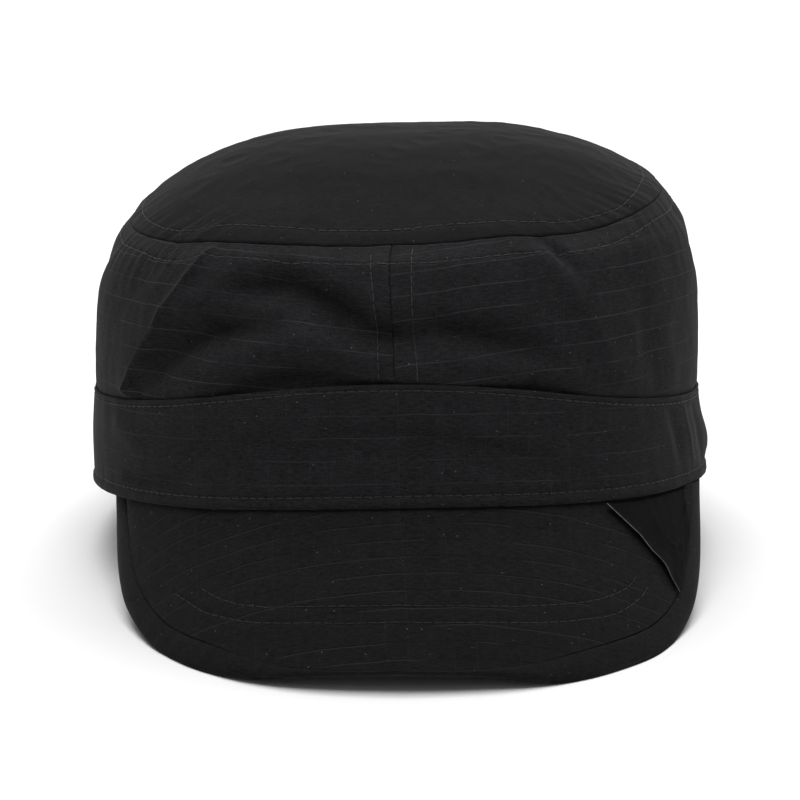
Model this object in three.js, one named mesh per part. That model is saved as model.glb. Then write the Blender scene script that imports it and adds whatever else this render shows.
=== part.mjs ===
// Patrol cap: soft black cloth cap with a flat-fronted crown, a wide band,
// a short arched visor with a rolled edge strip, and a bare corner patch.
// Millimetres. +X is to the wearer's left as seen from the front (right in the
// front view), -Y is the front, +Z is up. The cap rests on z = 0 by the rear of
// its rim and by the two front corners of its visor.
import * as THREE from 'three';

// ---------------------------------------------------------------- sizes
const DEG = Math.PI / 180;
const CENTRE_X = 0.297;      // middle of the finished cap, taken off so that the
const CENTRE_Y = -20.439;    // origin is the centre of its base
const BAND_TOP = 0.40;       // level of the band's folded upper edge (0 rim, 1 top seam)
const BAND_WALL = 1.6;       // band cloth, two plies
const CROWN_WALL = 1.6;      // crown cloth with its seam allowances
const PLY_GAP = 0.3;         // clearance between neighbouring pieces
const TOP_WALL = 1.8;        // top panel cloth
const VISOR_WALL = 2.6;      // visor: cloth, stiff core and cloth
const LABEL_WALL = 0.7;      // corner patch
const LABEL_CLEAR = 2.6;     // its edge below the band
const LABEL_END = 0.93;      // share of the visor's side where it ends
const LABEL_OUT = 0.975;     // how near it comes to the edge strip's seam
const WALL_MEAN_R = 95;      // mean radius and height that turn angle and level
const WALL_MEAN_H = 85;      // into millimetres for the folds
const FRONT_LIFT_WIDTH = 36; // degrees over which the front of the rim arches up
const DOME_RISE = 23.5;       // top panel over its seam
const DOME_SQUARE = 2.4;     // how square-shouldered the dome is
const DOME_ROUND = 0.84;
const DOME_CENTRE = [2.5, 2.0];
const DOME_LEAN = 0.03;      // the dome leans to its left
const VISOR_SLOPE = 40;      // degrees below level at the middle
const VISOR_ROOT = [0, -103, 39.9];
const ARCH_LEFT = 0.985;     // half widths of the visor's arch
const ARCH_RIGHT = 1.04;
const VISOR_TUCK = 1.2;      // visor root behind the band's outer face
const VISOR_UNDER = 0.75;    // and below its lower edge

// One row per section of the crown wall, from the rim up to the top seam.
// left/right: half widths; front/back: half lengths; frontZ, sideZ, backZ:
// heights; lift: extra height at the front centre; lean: rise per mm to the
// right; square: exponent of the oval; midX: sideways offset.
const WALL_ROWS = [
  { level: 0.00, left: 91.5, right: 91.5, front: 103, back: 102, frontZ: 36.3, sideZ: 21.8, backZ: -2.0, lift: 3.6, lean: 0.018, square: 2.20, midX: 0.0 },
  { level: 0.40, left: 90.0, right: 89.5, front: 101, back: 101, frontZ: 66.8, sideZ: 48.8, backZ: 35.3, lift: 7.0, lean: 0.004, square: 2.22, midX: -0.8 },
  { level: 0.70, left: 88.5, right: 88.8, front: 96, back: 98, frontZ: 91.8, sideZ: 77.8, backZ: 64.3, lift: 2.0, lean: 0.012, square: 2.20, midX: -0.8 },
  { level: 0.88, left: 84.4, right: 84.9, front: 91, back: 94, frontZ: 104.1, sideZ: 95.3, backZ: 83.3, lift: 0.0, lean: 0.032, square: 2.25, midX: -0.5 },
  { level: 1.00, left: 79.2, right: 76.2, front: 84, back: 88, frontZ: 109.2, sideZ: 105.1, backZ: 94.3, lift: 0.0, lean: 0.052, square: 2.30, midX: 0.3 },
];

// How far the top seam sags below its oval, by the angle round the crown
// (0 front, + to the right).
const SEAM_SAG = [
  { deg: -180, drop: 0.4 }, { deg: -120, drop: 1.0 }, { deg: -78, drop: 2.4 }, { deg: -62, drop: 2.2 },
  { deg: -50, drop: 1.6 }, { deg: -40, drop: 0.2 }, { deg: -26, drop: -0.4 }, { deg: -10, drop: 0.2 },
  { deg: 4, drop: 0.6 }, { deg: 18, drop: 0.2 }, { deg: 27, drop: 1.6 }, { deg: 38, drop: 2.6 },
  { deg: 52, drop: 2.0 }, { deg: 66, drop: 1.0 }, { deg: 90, drop: 0.6 }, { deg: 130, drop: 1.4 }, { deg: 180, drop: 0.4 },
];

// Folds and dents of the crown wall: a soft ridge (+) or valley (-) along a
// line between two places, each an angle and a level. wide and deep in mm.
const WALL_FOLDS = [
  { name: 'left ridge, upper', deg0: -40, level0: 0.97, deg1: -47, level1: 0.72, wide: 5.5, deep: 1.9 },
  { name: 'left ridge, lower', deg0: -47, level0: 0.72, deg1: -59, level1: 0.46, wide: 5.5, deep: 2.0 },
  { name: 'left of the ridge', deg0: -55, level0: 0.86, deg1: -66, level1: 0.62, wide: 8.0, deep: -1.6 },
  { name: 'upper left valley', deg0: -30, level0: 0.82, deg1: -12, level1: 0.78, wide: 8.0, deep: -2.4 },
  { name: 'upper left valley, foot', deg0: -12, level0: 0.78, deg1: -2, level1: 0.60, wide: 7.0, deep: -2.4 },
  { name: 'lower left valley', deg0: -55, level0: 0.47, deg1: -41, level1: 0.62, wide: 7.0, deep: -2.2 },
  { name: 'lower left valley, end', deg0: -41, level0: 0.62, deg1: -24, level1: 0.67, wide: 7.0, deep: -2.2 },
  { name: 'swell between them', deg0: -36, level0: 0.74, deg1: -16, level1: 0.70, wide: 6.0, deep: 1.2 },
  { name: 'hollow over the band', deg0: -36, level0: 0.44, deg1: -5, level1: 0.47, wide: 7.0, deep: -2.8 },
  { name: 'right valley', deg0: 2, level0: 0.67, deg1: 24, level1: 0.56, wide: 7.5, deep: -1.8 },
  { name: 'right hollow', deg0: 15, level0: 0.45, deg1: 30, level1: 0.43, wide: 6.0, deep: -1.6 },
  { name: 'right ridge', deg0: 25, level0: 0.93, deg1: 43, level1: 0.47, wide: 9.0, deep: 1.6 },
  { name: 'seam dimple', deg0: 28, level0: 0.95, deg1: 31, level1: 0.86, wide: 4.0, deep: -1.6 },
  { name: 'right side hollow', deg0: 58, level0: 0.74, deg1: 66, level1: 0.50, wide: 10.0, deep: -1.4 },
  { name: 'left side pucker', deg0: -80, level0: 0.93, deg1: -92, level1: 0.74, wide: 7.0, deep: -0.8 },
  { name: 'right side pucker', deg0: 82, level0: 0.92, deg1: 88, level1: 0.76, wide: 7.0, deep: -0.8 },
  { name: 'rear left fold', deg0: -128, level0: 0.86, deg1: -148, level1: 0.52, wide: 9.0, deep: -2.4 },
  { name: 'rear left ridge', deg0: -146, level0: 0.84, deg1: -162, level1: 0.54, wide: 8.0, deep: 1.6 },
  { name: 'rear right fold', deg0: 124, level0: 0.80, deg1: 150, level1: 0.55, wide: 9.0, deep: -2.4 },
  { name: 'rear centre hollow', deg0: 168, level0: 0.66, deg1: 196, level1: 0.60, wide: 10.0, deep: -1.8 },
];

// Shallow waves of the band, in the same terms.
const BAND_FOLDS = [
  { name: 'left valley', deg0: -31, level0: 0.20, deg1: -12, level1: 0.17, wide: 5.5, deep: -0.8 },
  { name: 'middle valley', deg0: -9, level0: 0.22, deg1: 20, level1: 0.15, wide: 5.5, deep: -0.8 },
  { name: 'left foot', deg0: -56, level0: 0.07, deg1: -40, level1: 0.08, wide: 5.5, deep: -0.7 },
  { name: 'right pucker', deg0: 60, level0: 0.34, deg1: 63, level1: 0.10, wide: 4.0, deep: -0.9 },
  { name: 'right swell', deg0: 78, level0: 0.20, deg1: 92, level1: 0.08, wide: 9.0, deep: 1.4 },
  { name: 'rear wave', deg0: 150, level0: 0.28, deg1: 176, level1: 0.22, wide: 7.0, deep: -0.9 },
];

// Drop of the visor's arch below its crest, by the distance sideways.
const ARCH_ROWS = [
  { side: 0, drop: 0 }, { side: 20, drop: 1.9 }, { side: 40, drop: 7.9 }, { side: 55, drop: 16.0 },
  { side: 66, drop: 24.6 }, { side: 73, drop: 31.5 }, { side: 78, drop: 38.0 }, { side: 81.5, drop: 44.0 },
  { side: 84, drop: 50.5 }, { side: 85.5, drop: 57.0 },
];

// The visor laid flat, one row per ruling on each side of its middle: the
// angle on the rim where it starts, the seam of the edge strip and the outer
// edge, each as distance to the side (round the arch) and outward.
const VISOR_LEFT = [
  { share: 0.000, rimDeg: 0.0, seamSide: 0.0, seamOut: 50.4, edgeSide: 0.0, edgeOut: 51.9 },
  { share: 0.083, rimDeg: 10.0, seamSide: 12.0, seamOut: 50.2, edgeSide: 12.0, edgeOut: 51.9 },
  { share: 0.167, rimDeg: 20.0, seamSide: 23.0, seamOut: 49.5, edgeSide: 24.2, edgeOut: 51.2 },
  { share: 0.250, rimDeg: 29.0, seamSide: 32.8, seamOut: 47.4, edgeSide: 35.5, edgeOut: 50.0 },
  { share: 0.333, rimDeg: 36.0, seamSide: 44.3, seamOut: 41.3, edgeSide: 47.8, edgeOut: 46.5 },
  { share: 0.417, rimDeg: 42.0, seamSide: 53.8, seamOut: 35.2, edgeSide: 58.6, edgeOut: 41.4 },
  { share: 0.500, rimDeg: 46.5, seamSide: 63.0, seamOut: 29.0, edgeSide: 68.5, edgeOut: 34.1 },
  { share: 0.583, rimDeg: 50.0, seamSide: 71.2, seamOut: 21.7, edgeSide: 77.1, edgeOut: 26.1 },
  { share: 0.667, rimDeg: 52.5, seamSide: 78.2, seamOut: 12.7, edgeSide: 84.4, edgeOut: 16.2 },
  { share: 0.750, rimDeg: 54.3, seamSide: 83.8, seamOut: 2.8, edgeSide: 90.8, edgeOut: 6.3 },
  { share: 0.833, rimDeg: 55.5, seamSide: 87.3, seamOut: -7.5, edgeSide: 95.5, edgeOut: -4.4 },
  { share: 0.917, rimDeg: 56.3, seamSide: 89.8, seamOut: -17.5, edgeSide: 99.2, edgeOut: -16.6 },
  { share: 1.000, rimDeg: 57.0, seamSide: 92.1, seamOut: -27.2, edgeSide: 102.5, edgeOut: -37.0 },
];
const VISOR_RIGHT = [
  { share: 0.000, rimDeg: 0.0, seamSide: 0.0, seamOut: 50.4, edgeSide: 0.0, edgeOut: 52.1 },
  { share: 0.083, rimDeg: 10.0, seamSide: 12.0, seamOut: 50.1, edgeSide: 12.0, edgeOut: 52.0 },
  { share: 0.167, rimDeg: 20.0, seamSide: 23.0, seamOut: 49.5, edgeSide: 24.3, edgeOut: 51.4 },
  { share: 0.250, rimDeg: 29.0, seamSide: 33.1, seamOut: 47.4, edgeSide: 35.9, edgeOut: 50.6 },
  { share: 0.333, rimDeg: 36.5, seamSide: 44.8, seamOut: 42.2, edgeSide: 48.4, edgeOut: 47.5 },
  { share: 0.417, rimDeg: 43.0, seamSide: 55.3, seamOut: 36.4, edgeSide: 59.8, edgeOut: 42.5 },
  { share: 0.500, rimDeg: 48.5, seamSide: 65.0, seamOut: 30.4, edgeSide: 69.7, edgeOut: 37.0 },
  { share: 0.583, rimDeg: 53.0, seamSide: 72.8, seamOut: 24.9, edgeSide: 78.2, edgeOut: 31.1 },
  { share: 0.667, rimDeg: 56.5, seamSide: 79.6, seamOut: 18.1, edgeSide: 85.5, edgeOut: 22.9 },
  { share: 0.750, rimDeg: 59.0, seamSide: 85.8, seamOut: 9.6, edgeSide: 92.6, edgeOut: 13.3 },
  { share: 0.833, rimDeg: 60.8, seamSide: 90.1, seamOut: -1.0, edgeSide: 97.8, edgeOut: 3.1 },
  { share: 0.917, rimDeg: 62.0, seamSide: 93.5, seamOut: -15.0, edgeSide: 103.3, edgeOut: -12.9 },
  { share: 1.000, rimDeg: 63.0, seamSide: 97.1, seamOut: -33.0, edgeSide: 106.8, edgeOut: -39.5 },
];

// Section of the edge strip: out across its width, and height over the
// visor's upper face (face 0) or against its lower face (face 1).
const STRIP_SECTION = [
  { out: 0.0, face: 0, rise: 0.1 }, { out: 0.45, face: 0, rise: 0.5 }, { out: 0.85, face: 0, rise: 0.2 },
  { out: 1.0, face: 0, rise: -1.0 }, { out: 1.0, face: 1, rise: 1.0 }, { out: 0.85, face: 1, rise: -0.2 },
  { out: 0.45, face: 1, rise: -0.5 }, { out: 0.0, face: 1, rise: -0.15 },
];

// Free edge of the corner patch across the visor's right side: how far out
// along the ruling, and the share of the ruling that it crosses.
const LABEL_EDGE = [
  { out: 0.0, share: 0.310 }, { out: 0.1, share: 0.370 }, { out: 0.2, share: 0.427 },
  { out: 0.3, share: 0.480 }, { out: 0.42, share: 0.544 }, { out: 0.5, share: 0.592 },
  { out: 0.6, share: 0.642 }, { out: 0.8, share: 0.712 }, { out: 1.0, share: 0.763 },
];

// ---------------------------------------------------------------- small tools
// Smooth curve through the rows of a table, without overshoot.
function curve(rows, key, value) {
  const x = rows.map((r) => r[key]), y = rows.map((r) => r[value]), n = x.length;
  const h = [], s = [], m = new Array(n).fill(0);
  for (let i = 0; i < n - 1; i++) { h.push(x[i + 1] - x[i]); s.push((y[i + 1] - y[i]) / h[i]); }
  for (let i = 1; i < n - 1; i++) {
    if (s[i - 1] * s[i] > 0) {
      const a = 2 * h[i] + h[i - 1], b = h[i] + 2 * h[i - 1];
      m[i] = (a + b) / (a / s[i - 1] + b / s[i]);
    }
  }
  m[0] = s[0]; m[n - 1] = s[n - 2];
  return (t) => {
    let i = 0;
    while (i < n - 2 && t >= x[i + 1]) i++;
    const u = (t - x[i]) / h[i], v = 1 - u;
    return (1 + 2 * u) * v * v * y[i] + u * v * v * h[i] * m[i] + u * u * (3 - 2 * u) * y[i + 1] - u * u * v * h[i] * m[i + 1];
  };
}
const spow = (a, p) => Math.sign(a) * Math.abs(a) ** p;
const smooth = (t) => { const c = Math.min(1, Math.max(0, t)); return c * c * (3 - 2 * c); };
const vec = (x, y, z) => new THREE.Vector3(x, y, z);

// Height of a set of folds at an angle (degrees) and level of the wall.
function foldHeight(folds, deg, level) {
  let sum = 0;
  for (const f of folds) {
    for (const turn of [-360, 0, 360]) {
      const px = (deg + turn) * DEG * WALL_MEAN_R, py = level * WALL_MEAN_H;
      const ax = f.deg0 * DEG * WALL_MEAN_R, ay = f.level0 * WALL_MEAN_H;
      const bx = f.deg1 * DEG * WALL_MEAN_R, by = f.level1 * WALL_MEAN_H;
      const l2 = (bx - ax) ** 2 + (by - ay) ** 2;
      const t = Math.min(1, Math.max(0, ((px - ax) * (bx - ax) + (py - ay) * (by - ay)) / l2));
      const d = Math.hypot(px - ax - t * (bx - ax), py - ay - t * (by - ay));
      if (d < 3.5 * f.wide) sum += f.deep * Math.exp(-((d / f.wide) ** 2));
    }
  }
  return sum;
}

// ---------------------------------------------------------------- crown wall
const wallCurve = {};
for (const k of Object.keys(WALL_ROWS[0])) if (k !== 'level') wallCurve[k] = curve(WALL_ROWS, 'level', k);
const seamSag = curve(SEAM_SAG, 'deg', 'drop');

function wallBase(deg, level) {
  const a = deg * DEG, s = Math.sin(a), c = Math.cos(a), w = {};
  for (const k of Object.keys(wallCurve)) w[k] = wallCurve[k](level);
  const e = 2 / w.square;
  const x = w.midX + spow(s, e) * (s > 0 ? w.right : w.left);
  const y = -spow(c, e) * (c > 0 ? w.front : w.back);
  let d = deg; while (d > 180) d -= 360; while (d < -180) d += 360;
  const z = w.sideZ + (w.frontZ - w.backZ) / 2 * c + ((w.frontZ + w.backZ) / 2 - w.sideZ) * c * c
    + w.lean * x + w.lift * Math.exp(-((d / FRONT_LIFT_WIDTH) ** 2));
  return vec(x, y, z - seamSag(d) * smooth((level - 0.72) / 0.28));
}
function surfaceNormal(fn, a, b, da, db) {
  const u = fn(a + da, b).sub(fn(a - da, b)), v = fn(a, b + db).sub(fn(a, b - db));
  return u.cross(v).normalize();
}
// Upper part of the wall leans in to meet the top panel on a shared mitre.
function wallNormal(deg, level) {
  const n = surfaceNormal(wallBase, deg, Math.min(0.985, Math.max(0.015, level)), 0.5, 0.01);
  n.z *= smooth(level / 0.08);
  n.normalize();
  return n.lerp(seamNormal(deg), smooth((level - 0.9) / 0.09)).normalize();
}
function domePoint(deg, r) {
  let d = deg; while (d > 180) d -= 360; while (d < -180) d += 360;
  const rim = wallBase(deg, 1), mid = vec(DOME_CENTRE[0], DOME_CENTRE[1], (WALL_ROWS[4].frontZ + WALL_ROWS[4].backZ) / 2);
  rim.z += seamSag(d);
  const p = mid.clone().lerp(rim, r);
  p.z -= seamSag(d) * r ** 6;
  p.z += DOME_RISE * (1 - Math.min(1, r) ** DOME_SQUARE) ** DOME_ROUND - DOME_LEAN * p.x * (1 - r ** 4);
  return p;
}
function seamNormal(deg) {
  const a = surfaceNormal(wallBase, deg, 0.975, 0.5, 0.01);
  const b = domeNormalRaw(deg, 0.965);
  return a.add(b).normalize();
}
function domeNormalRaw(deg, r) {
  if (r < 0.02) return vec(0, 0, 1);
  const c = Math.min(0.985, r);
  return surfaceNormal(domePoint, deg, c, 0.5, 0.01).multiplyScalar(-1);
}
function domeNormal(deg, r) {
  return domeNormalRaw(deg, r).lerp(seamNormal(deg), smooth((r - 0.9) / 0.09)).normalize();
}
// The crown cloth runs behind the band and comes flush above its lip.
function crownInset(level) {
  if (level <= BAND_TOP + 0.001) return BAND_WALL + PLY_GAP;
  return (BAND_WALL + PLY_GAP) * 0.62 * (1 - smooth((level - BAND_TOP) / 0.16));
}
function crownPoint(deg, level, depth) {
  const fade = smooth((level - BAND_TOP) / 0.08) * (1 - 0.7 * smooth((level - 0.93) / 0.07));
  const p = wallBase(deg, level);
  p.addScaledVector(wallNormal(deg, level), foldHeight(WALL_FOLDS, deg, level) * fade - crownInset(level) - depth);
  if (level === 0) p.z = Math.max(0, wallBase(deg, 0).z) + 0.5;
  return p;
}
function bandPoint(deg, level, depth) {
  const p = wallBase(deg, level);
  p.addScaledVector(wallNormal(deg, level), foldHeight(BAND_FOLDS, deg, level) * smooth((level - 0.02) / 0.08) * (1 - smooth((level - 0.3) / 0.1)) * (depth > 0 ? 0 : 1) - depth);
  if (level === 0) p.z = Math.max(0, wallBase(deg, 0).z);
  return p;
}
function topPoint(deg, r, depth) {
  return domePoint(deg, r).addScaledVector(domeNormal(deg, r), -depth);
}

// ---------------------------------------------------------------- visor
const slope = VISOR_SLOPE * DEG;
const OUTWARD = vec(0, -Math.cos(slope), -Math.sin(slope));
const UPWARD = vec(0, -Math.sin(slope), Math.cos(slope));
const ROOT = vec(...VISOR_ROOT);
const archHalf = curve(ARCH_ROWS, 'side', 'drop');
const archTable = (scale) => {
  const rows = [{ along: 0, side: 0, drop: 0 }], n = 240, end = ARCH_ROWS[ARCH_ROWS.length - 1].side;
  for (let i = 1; i <= n; i++) {
    const s = end * i / n, d = archHalf(s), last = rows[i - 1];
    rows.push({ along: last.along + Math.hypot(s * scale - last.side, d - last.drop), side: s * scale, drop: d });
  }
  return rows;
};
const ARCH = { left: archTable(ARCH_LEFT), right: archTable(ARCH_RIGHT) };
function archAt(along) {
  const rows = along < 0 ? ARCH.left : ARCH.right, a = Math.min(Math.abs(along), rows[rows.length - 1].along);
  let i = 0;
  while (i < rows.length - 2 && rows[i + 1].along < a) i++;
  const p = rows[i], q = rows[i + 1], t = (a - p.along) / (q.along - p.along), sg = along < 0 ? -1 : 1;
  return {
    side: sg * (p.side + t * (q.side - p.side)), drop: p.drop + t * (q.drop - p.drop),
    run: (q.side - p.side) / (q.along - p.along), fall: sg * (q.drop - p.drop) / (q.along - p.along),
  };
}
function alongOf(side) {
  const rows = side < 0 ? ARCH.left : ARCH.right, a = Math.abs(side);
  let i = 0;
  while (i < rows.length - 2 && rows[i + 1].side < a) i++;
  const p = rows[i], q = rows[i + 1];
  return Math.sign(side) * (p.along + (a - p.side) / (q.side - p.side) * (q.along - p.along));
}
function archPoint(along, out, rise) {
  const a = archAt(along);
  return ROOT.clone().add(vec(a.side, 0, 0)).addScaledVector(OUTWARD, out).addScaledVector(UPWARD, -a.drop)
    .add(vec(a.fall * rise, 0, 0)).addScaledVector(UPWARD, a.run * rise);
}
const visorRows = [
  ...VISOR_LEFT.slice(1).reverse().map((r) => ({ share: -r.share, rimDeg: -r.rimDeg, seamSide: -r.seamSide, seamOut: r.seamOut, edgeSide: -r.edgeSide, edgeOut: r.edgeOut })),
  ...VISOR_RIGHT,
];
const visorCurve = {};
for (const k of ['rimDeg', 'seamSide', 'seamOut', 'edgeSide', 'edgeOut']) visorCurve[k] = curve(visorRows, 'share', k);

// Where a ruling starts on the rim, in the flat visor's terms, with the small
// height by which the rim stands off the arch there.
function visorRoot(share) {
  const deg = visorCurve.rimDeg(share), p = wallBase(deg, 0), n = wallNormal(deg, 0);
  p.z = Math.max(0, p.z) - VISOR_UNDER;
  p.addScaledVector(n, -VISOR_TUCK);
  const rel = p.clone().sub(ROOT), along = alongOf(p.x);
  return { side: along, out: rel.dot(OUTWARD), rise: rel.dot(UPWARD) + archAt(along).drop };
}
function visorPoint(share, t, rise) {
  const a = visorRoot(share), side = visorCurve.seamSide(share), out = visorCurve.seamOut(share);
  return archPoint(a.side + t * (side - a.side), a.out + t * (out - a.out), rise + a.rise * (1 - t) ** 2);
}
function stripPoint(share, row) {
  const s0 = visorCurve.seamSide(share), o0 = visorCurve.seamOut(share);
  const s1 = visorCurve.edgeSide(share), o1 = visorCurve.edgeOut(share);
  const w = Math.hypot(s1 - s0, o1 - o0), f = (PLY_GAP + row.out * (w - PLY_GAP)) / w;
  const p = archPoint(s0 + f * (s1 - s0), o0 + f * (o1 - o0), (row.face ? -VISOR_WALL : 0) + row.rise);
  p.z = Math.max(0, p.z);
  return p;
}

// ---------------------------------------------------------------- solids
// Closed body between two matching grids of points, walled in at its edges.
function slab(outer, inner, wrap) {
  const rows = outer.length, cols = outer[0].length, pos = [], idx = [];
  for (const g of [outer, inner]) for (const row of g) for (const p of row) pos.push(p.x, p.y, p.z);
  const at = (side, i, j) => side * rows * cols + (i % rows) * cols + j;
  const same = (a, b) => Math.hypot(pos[3 * a] - pos[3 * b], pos[3 * a + 1] - pos[3 * b + 1], pos[3 * a + 2] - pos[3 * b + 2]) < 1e-6;
  const tri = (a, b, c) => { if (!same(a, b) && !same(b, c) && !same(c, a)) idx.push(a, b, c); };
  const quad = (a, b, c, d) => { tri(a, b, c); tri(a, c, d); };
  const last = wrap ? rows : rows - 1;
  for (let i = 0; i < last; i++) {
    for (let j = 0; j < cols - 1; j++) {
      quad(at(0, i, j), at(0, i + 1, j), at(0, i + 1, j + 1), at(0, i, j + 1));
      quad(at(1, i, j), at(1, i, j + 1), at(1, i + 1, j + 1), at(1, i + 1, j));
    }
    quad(at(0, i + 1, 0), at(0, i, 0), at(1, i, 0), at(1, i + 1, 0));
    const e = cols - 1;
    quad(at(0, i, e), at(0, i + 1, e), at(1, i + 1, e), at(1, i, e));
  }
  if (!wrap) {
    for (let j = 0; j < cols - 1; j++) {
      quad(at(0, 0, j), at(0, 0, j + 1), at(1, 0, j + 1), at(1, 0, j));
      const e = rows - 1;
      quad(at(0, e, j + 1), at(0, e, j), at(1, e, j), at(1, e, j + 1));
    }
  }
  return facing(pos, idx);
}
// Closed tube from a list of matching rings.
function sweep(rings) {
  const n = rings[0].length, pos = [], idx = [];
  for (const r of rings) for (const p of r) pos.push(p.x, p.y, p.z);
  for (let i = 0; i < rings.length - 1; i++) {
    for (let j = 0; j < n; j++) {
      const a = i * n + j, b = i * n + (j + 1) % n, c = a + n, d = b + n;
      idx.push(a, b, d, a, d, c);
    }
  }
  for (let j = 1; j < n - 1; j++) {
    idx.push(0, j + 1, j);
    const e = (rings.length - 1) * n;
    idx.push(e, e + j, e + j + 1);
  }
  return facing(pos, idx);
}
// Turns the faces outward, whichever way the grid ran.
function facing(pos, idx) {
  let v = 0;
  for (let i = 0; i < idx.length; i += 3) {
    const [a, b, c] = [0, 1, 2].map((k) => vec(pos[3 * idx[i + k]], pos[3 * idx[i + k] + 1], pos[3 * idx[i + k] + 2]));
    v += a.dot(b.clone().cross(c));
  }
  if (v < 0) for (let i = 0; i < idx.length; i += 3) [idx[i + 1], idx[i + 2]] = [idx[i + 2], idx[i + 1]];
  const g = new THREE.BufferGeometry();
  g.setAttribute('position', new THREE.Float32BufferAttribute(pos, 3));
  g.setIndex(idx);
  g.computeVertexNormals();
  return g;
}
const grid = (us, vs, fn) => us.map((u) => vs.map((v) => fn(u, v)));

// Angles round the crown: close together in front, wider behind.
const frontStations = [], rearStations = [];
for (let d = -100; d <= 100; d += 4) frontStations.push(d);
for (let d = 108; d < 256; d += 8) rearStations.push(d);
const ringStations = [...frontStations, ...rearStations];
const bandLevels = [0, 0.1, 0.2, 0.3, BAND_TOP];
const crownLevels = [...bandLevels, 0.43, 0.5, 0.58, 0.66, 0.74, 0.82, 0.9, 0.96, 0.9985];
const seamDeg = 0.085; // half the gap at the front and rear seams

// Half of the crown wall between the front-centre and rear-centre seams.
const rightStations = [seamDeg, ...ringStations.filter((d) => d > 0 && d < 180), 180 - seamDeg];
const leftStations = [-seamDeg, ...ringStations.map((d) => (d > 180 ? d - 360 : d)).filter((d) => d < 0 && d > -180).sort((a, b) => b - a), -180 + seamDeg];
const crownHalf = (stations) => slab(
  grid(stations, crownLevels, (d, l) => crownPoint(d, l, 0)),
  grid(stations, crownLevels, (d, l) => crownPoint(d, l, CROWN_WALL)), false);

const bandSolid = () => slab(
  grid(ringStations, bandLevels, (d, l) => bandPoint(d, l, 0)),
  grid(ringStations, bandLevels, (d, l) => bandPoint(d, l, BAND_WALL)), true);

const domeRings = [0.998, 0.96, 0.9, 0.8, 0.66, 0.48, 0.26, 0];
const topSolid = () => slab(
  grid(ringStations, domeRings, (d, r) => topPoint(d, r, 0)),
  grid(ringStations, domeRings, (d, r) => topPoint(d, r, TOP_WALL)), true);

const shares = (n) => Array.from({ length: n + 1 }, (_, i) => -1 + 2 * i / n);
const visorSteps = [0, 0.2, 0.4, 0.6, 0.8, 1];
const visorSolid = () => slab(
  grid(shares(36), visorSteps, (s, t) => visorPoint(s, t, 0)),
  grid(shares(36), visorSteps, (s, t) => visorPoint(s, t, -VISOR_WALL)), false);

const stripSolid = () => sweep(shares(44).map((s) => STRIP_SECTION.map((row) => stripPoint(s, row))));

// Patch: across from its free edge to the end of the visor, out from just
// clear of the band to just short of the strip's seam.
const labelEdge = curve(LABEL_EDGE, 'out', 'share');
const labelPoint = (k, t, rise) => {
  let out = t * LABEL_OUT, share = 0;
  for (let i = 0; i < 4; i++) {
    const s0 = labelEdge(out);
    share = s0 + k * (LABEL_END - s0);
    const clear = Math.min(0.5, LABEL_CLEAR / visorPoint(share, 0, 0).distanceTo(visorPoint(share, 1, 0)));
    out = clear + t * (LABEL_OUT - clear);
  }
  return visorPoint(share, out, rise);
};
const labelAcross = Array.from({ length: 12 }, (_, i) => i / 11);
const labelOut = [0, 0.17, 0.34, 0.5, 0.66, 0.83, 1];
const labelSolid = () => slab(
  grid(labelAcross, labelOut, (k, t) => labelPoint(k, t, PLY_GAP + LABEL_WALL)),
  grid(labelAcross, labelOut, (k, t) => labelPoint(k, t, PLY_GAP)), false);

// ---------------------------------------------------------------- assembly
const cloth = (colour, roughness) => new THREE.MeshStandardMaterial({ color: colour, roughness, metalness: 0 });
const cap = new THREE.Group();
const add = (name, geometry, material) => {
  const mesh = new THREE.Mesh(geometry, material);
  mesh.name = name;
  cap.add(mesh);
};
add('crown_top', topSolid(), cloth(0x272627, 0.92));
add('side_panel_left', crownHalf(leftStations), cloth(0x1c1c1e, 0.94));
add('side_panel_right', crownHalf(rightStations), cloth(0x202021, 0.94));
add('band', bandSolid(), cloth(0x1e1e1f, 0.93));
add('visor', visorSolid(), cloth(0x1d1d1e, 0.93));
add('visor_binding', stripSolid(), cloth(0x212121, 0.92));
add('corner_label', labelSolid(), cloth(0x101011, 0.55));
cap.position.set(-CENTRE_X, -CENTRE_Y, 0);

export default cap;
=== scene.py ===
import math

import bpy
import numpy as np
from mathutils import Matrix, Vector


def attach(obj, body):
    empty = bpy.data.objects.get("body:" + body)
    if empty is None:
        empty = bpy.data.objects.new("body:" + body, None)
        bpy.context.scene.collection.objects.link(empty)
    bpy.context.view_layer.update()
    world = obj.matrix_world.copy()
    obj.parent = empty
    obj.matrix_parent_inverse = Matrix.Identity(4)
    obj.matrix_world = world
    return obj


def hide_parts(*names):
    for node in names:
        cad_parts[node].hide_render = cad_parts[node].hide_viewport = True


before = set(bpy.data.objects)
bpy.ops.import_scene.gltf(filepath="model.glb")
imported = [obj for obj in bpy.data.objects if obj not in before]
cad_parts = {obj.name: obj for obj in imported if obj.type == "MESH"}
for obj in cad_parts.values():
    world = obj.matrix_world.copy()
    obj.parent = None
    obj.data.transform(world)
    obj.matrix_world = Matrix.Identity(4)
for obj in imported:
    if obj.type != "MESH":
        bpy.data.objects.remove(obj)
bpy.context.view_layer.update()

# ------------------------------------------------------------------ sizes
SHIFT = np.array([-0.297, 20.439, 0.0])   # centre of the base, as in the frame
MM = 0.001
BAND_TOP = 0.40
BAND_WALL = 1.5
CROWN_WALL = 1.3
TOP_WALL = 1.4
VISOR_WALL = 2.6
FOLD_R = 95.0
FOLD_H = 85.0
FOLD_DEPTH = (1.35, 2.0)    # of the crown wall's folds, of the band's
FRONT_LIFT_WIDTH = 36.0
DOME_RISE, DOME_SQUARE, DOME_ROUND, DOME_LEAN = 23.5, 2.4, 0.84, 0.03
DOME_CENTRE = (2.5, 2.0)
SLOPE = math.radians(40.0)
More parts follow.
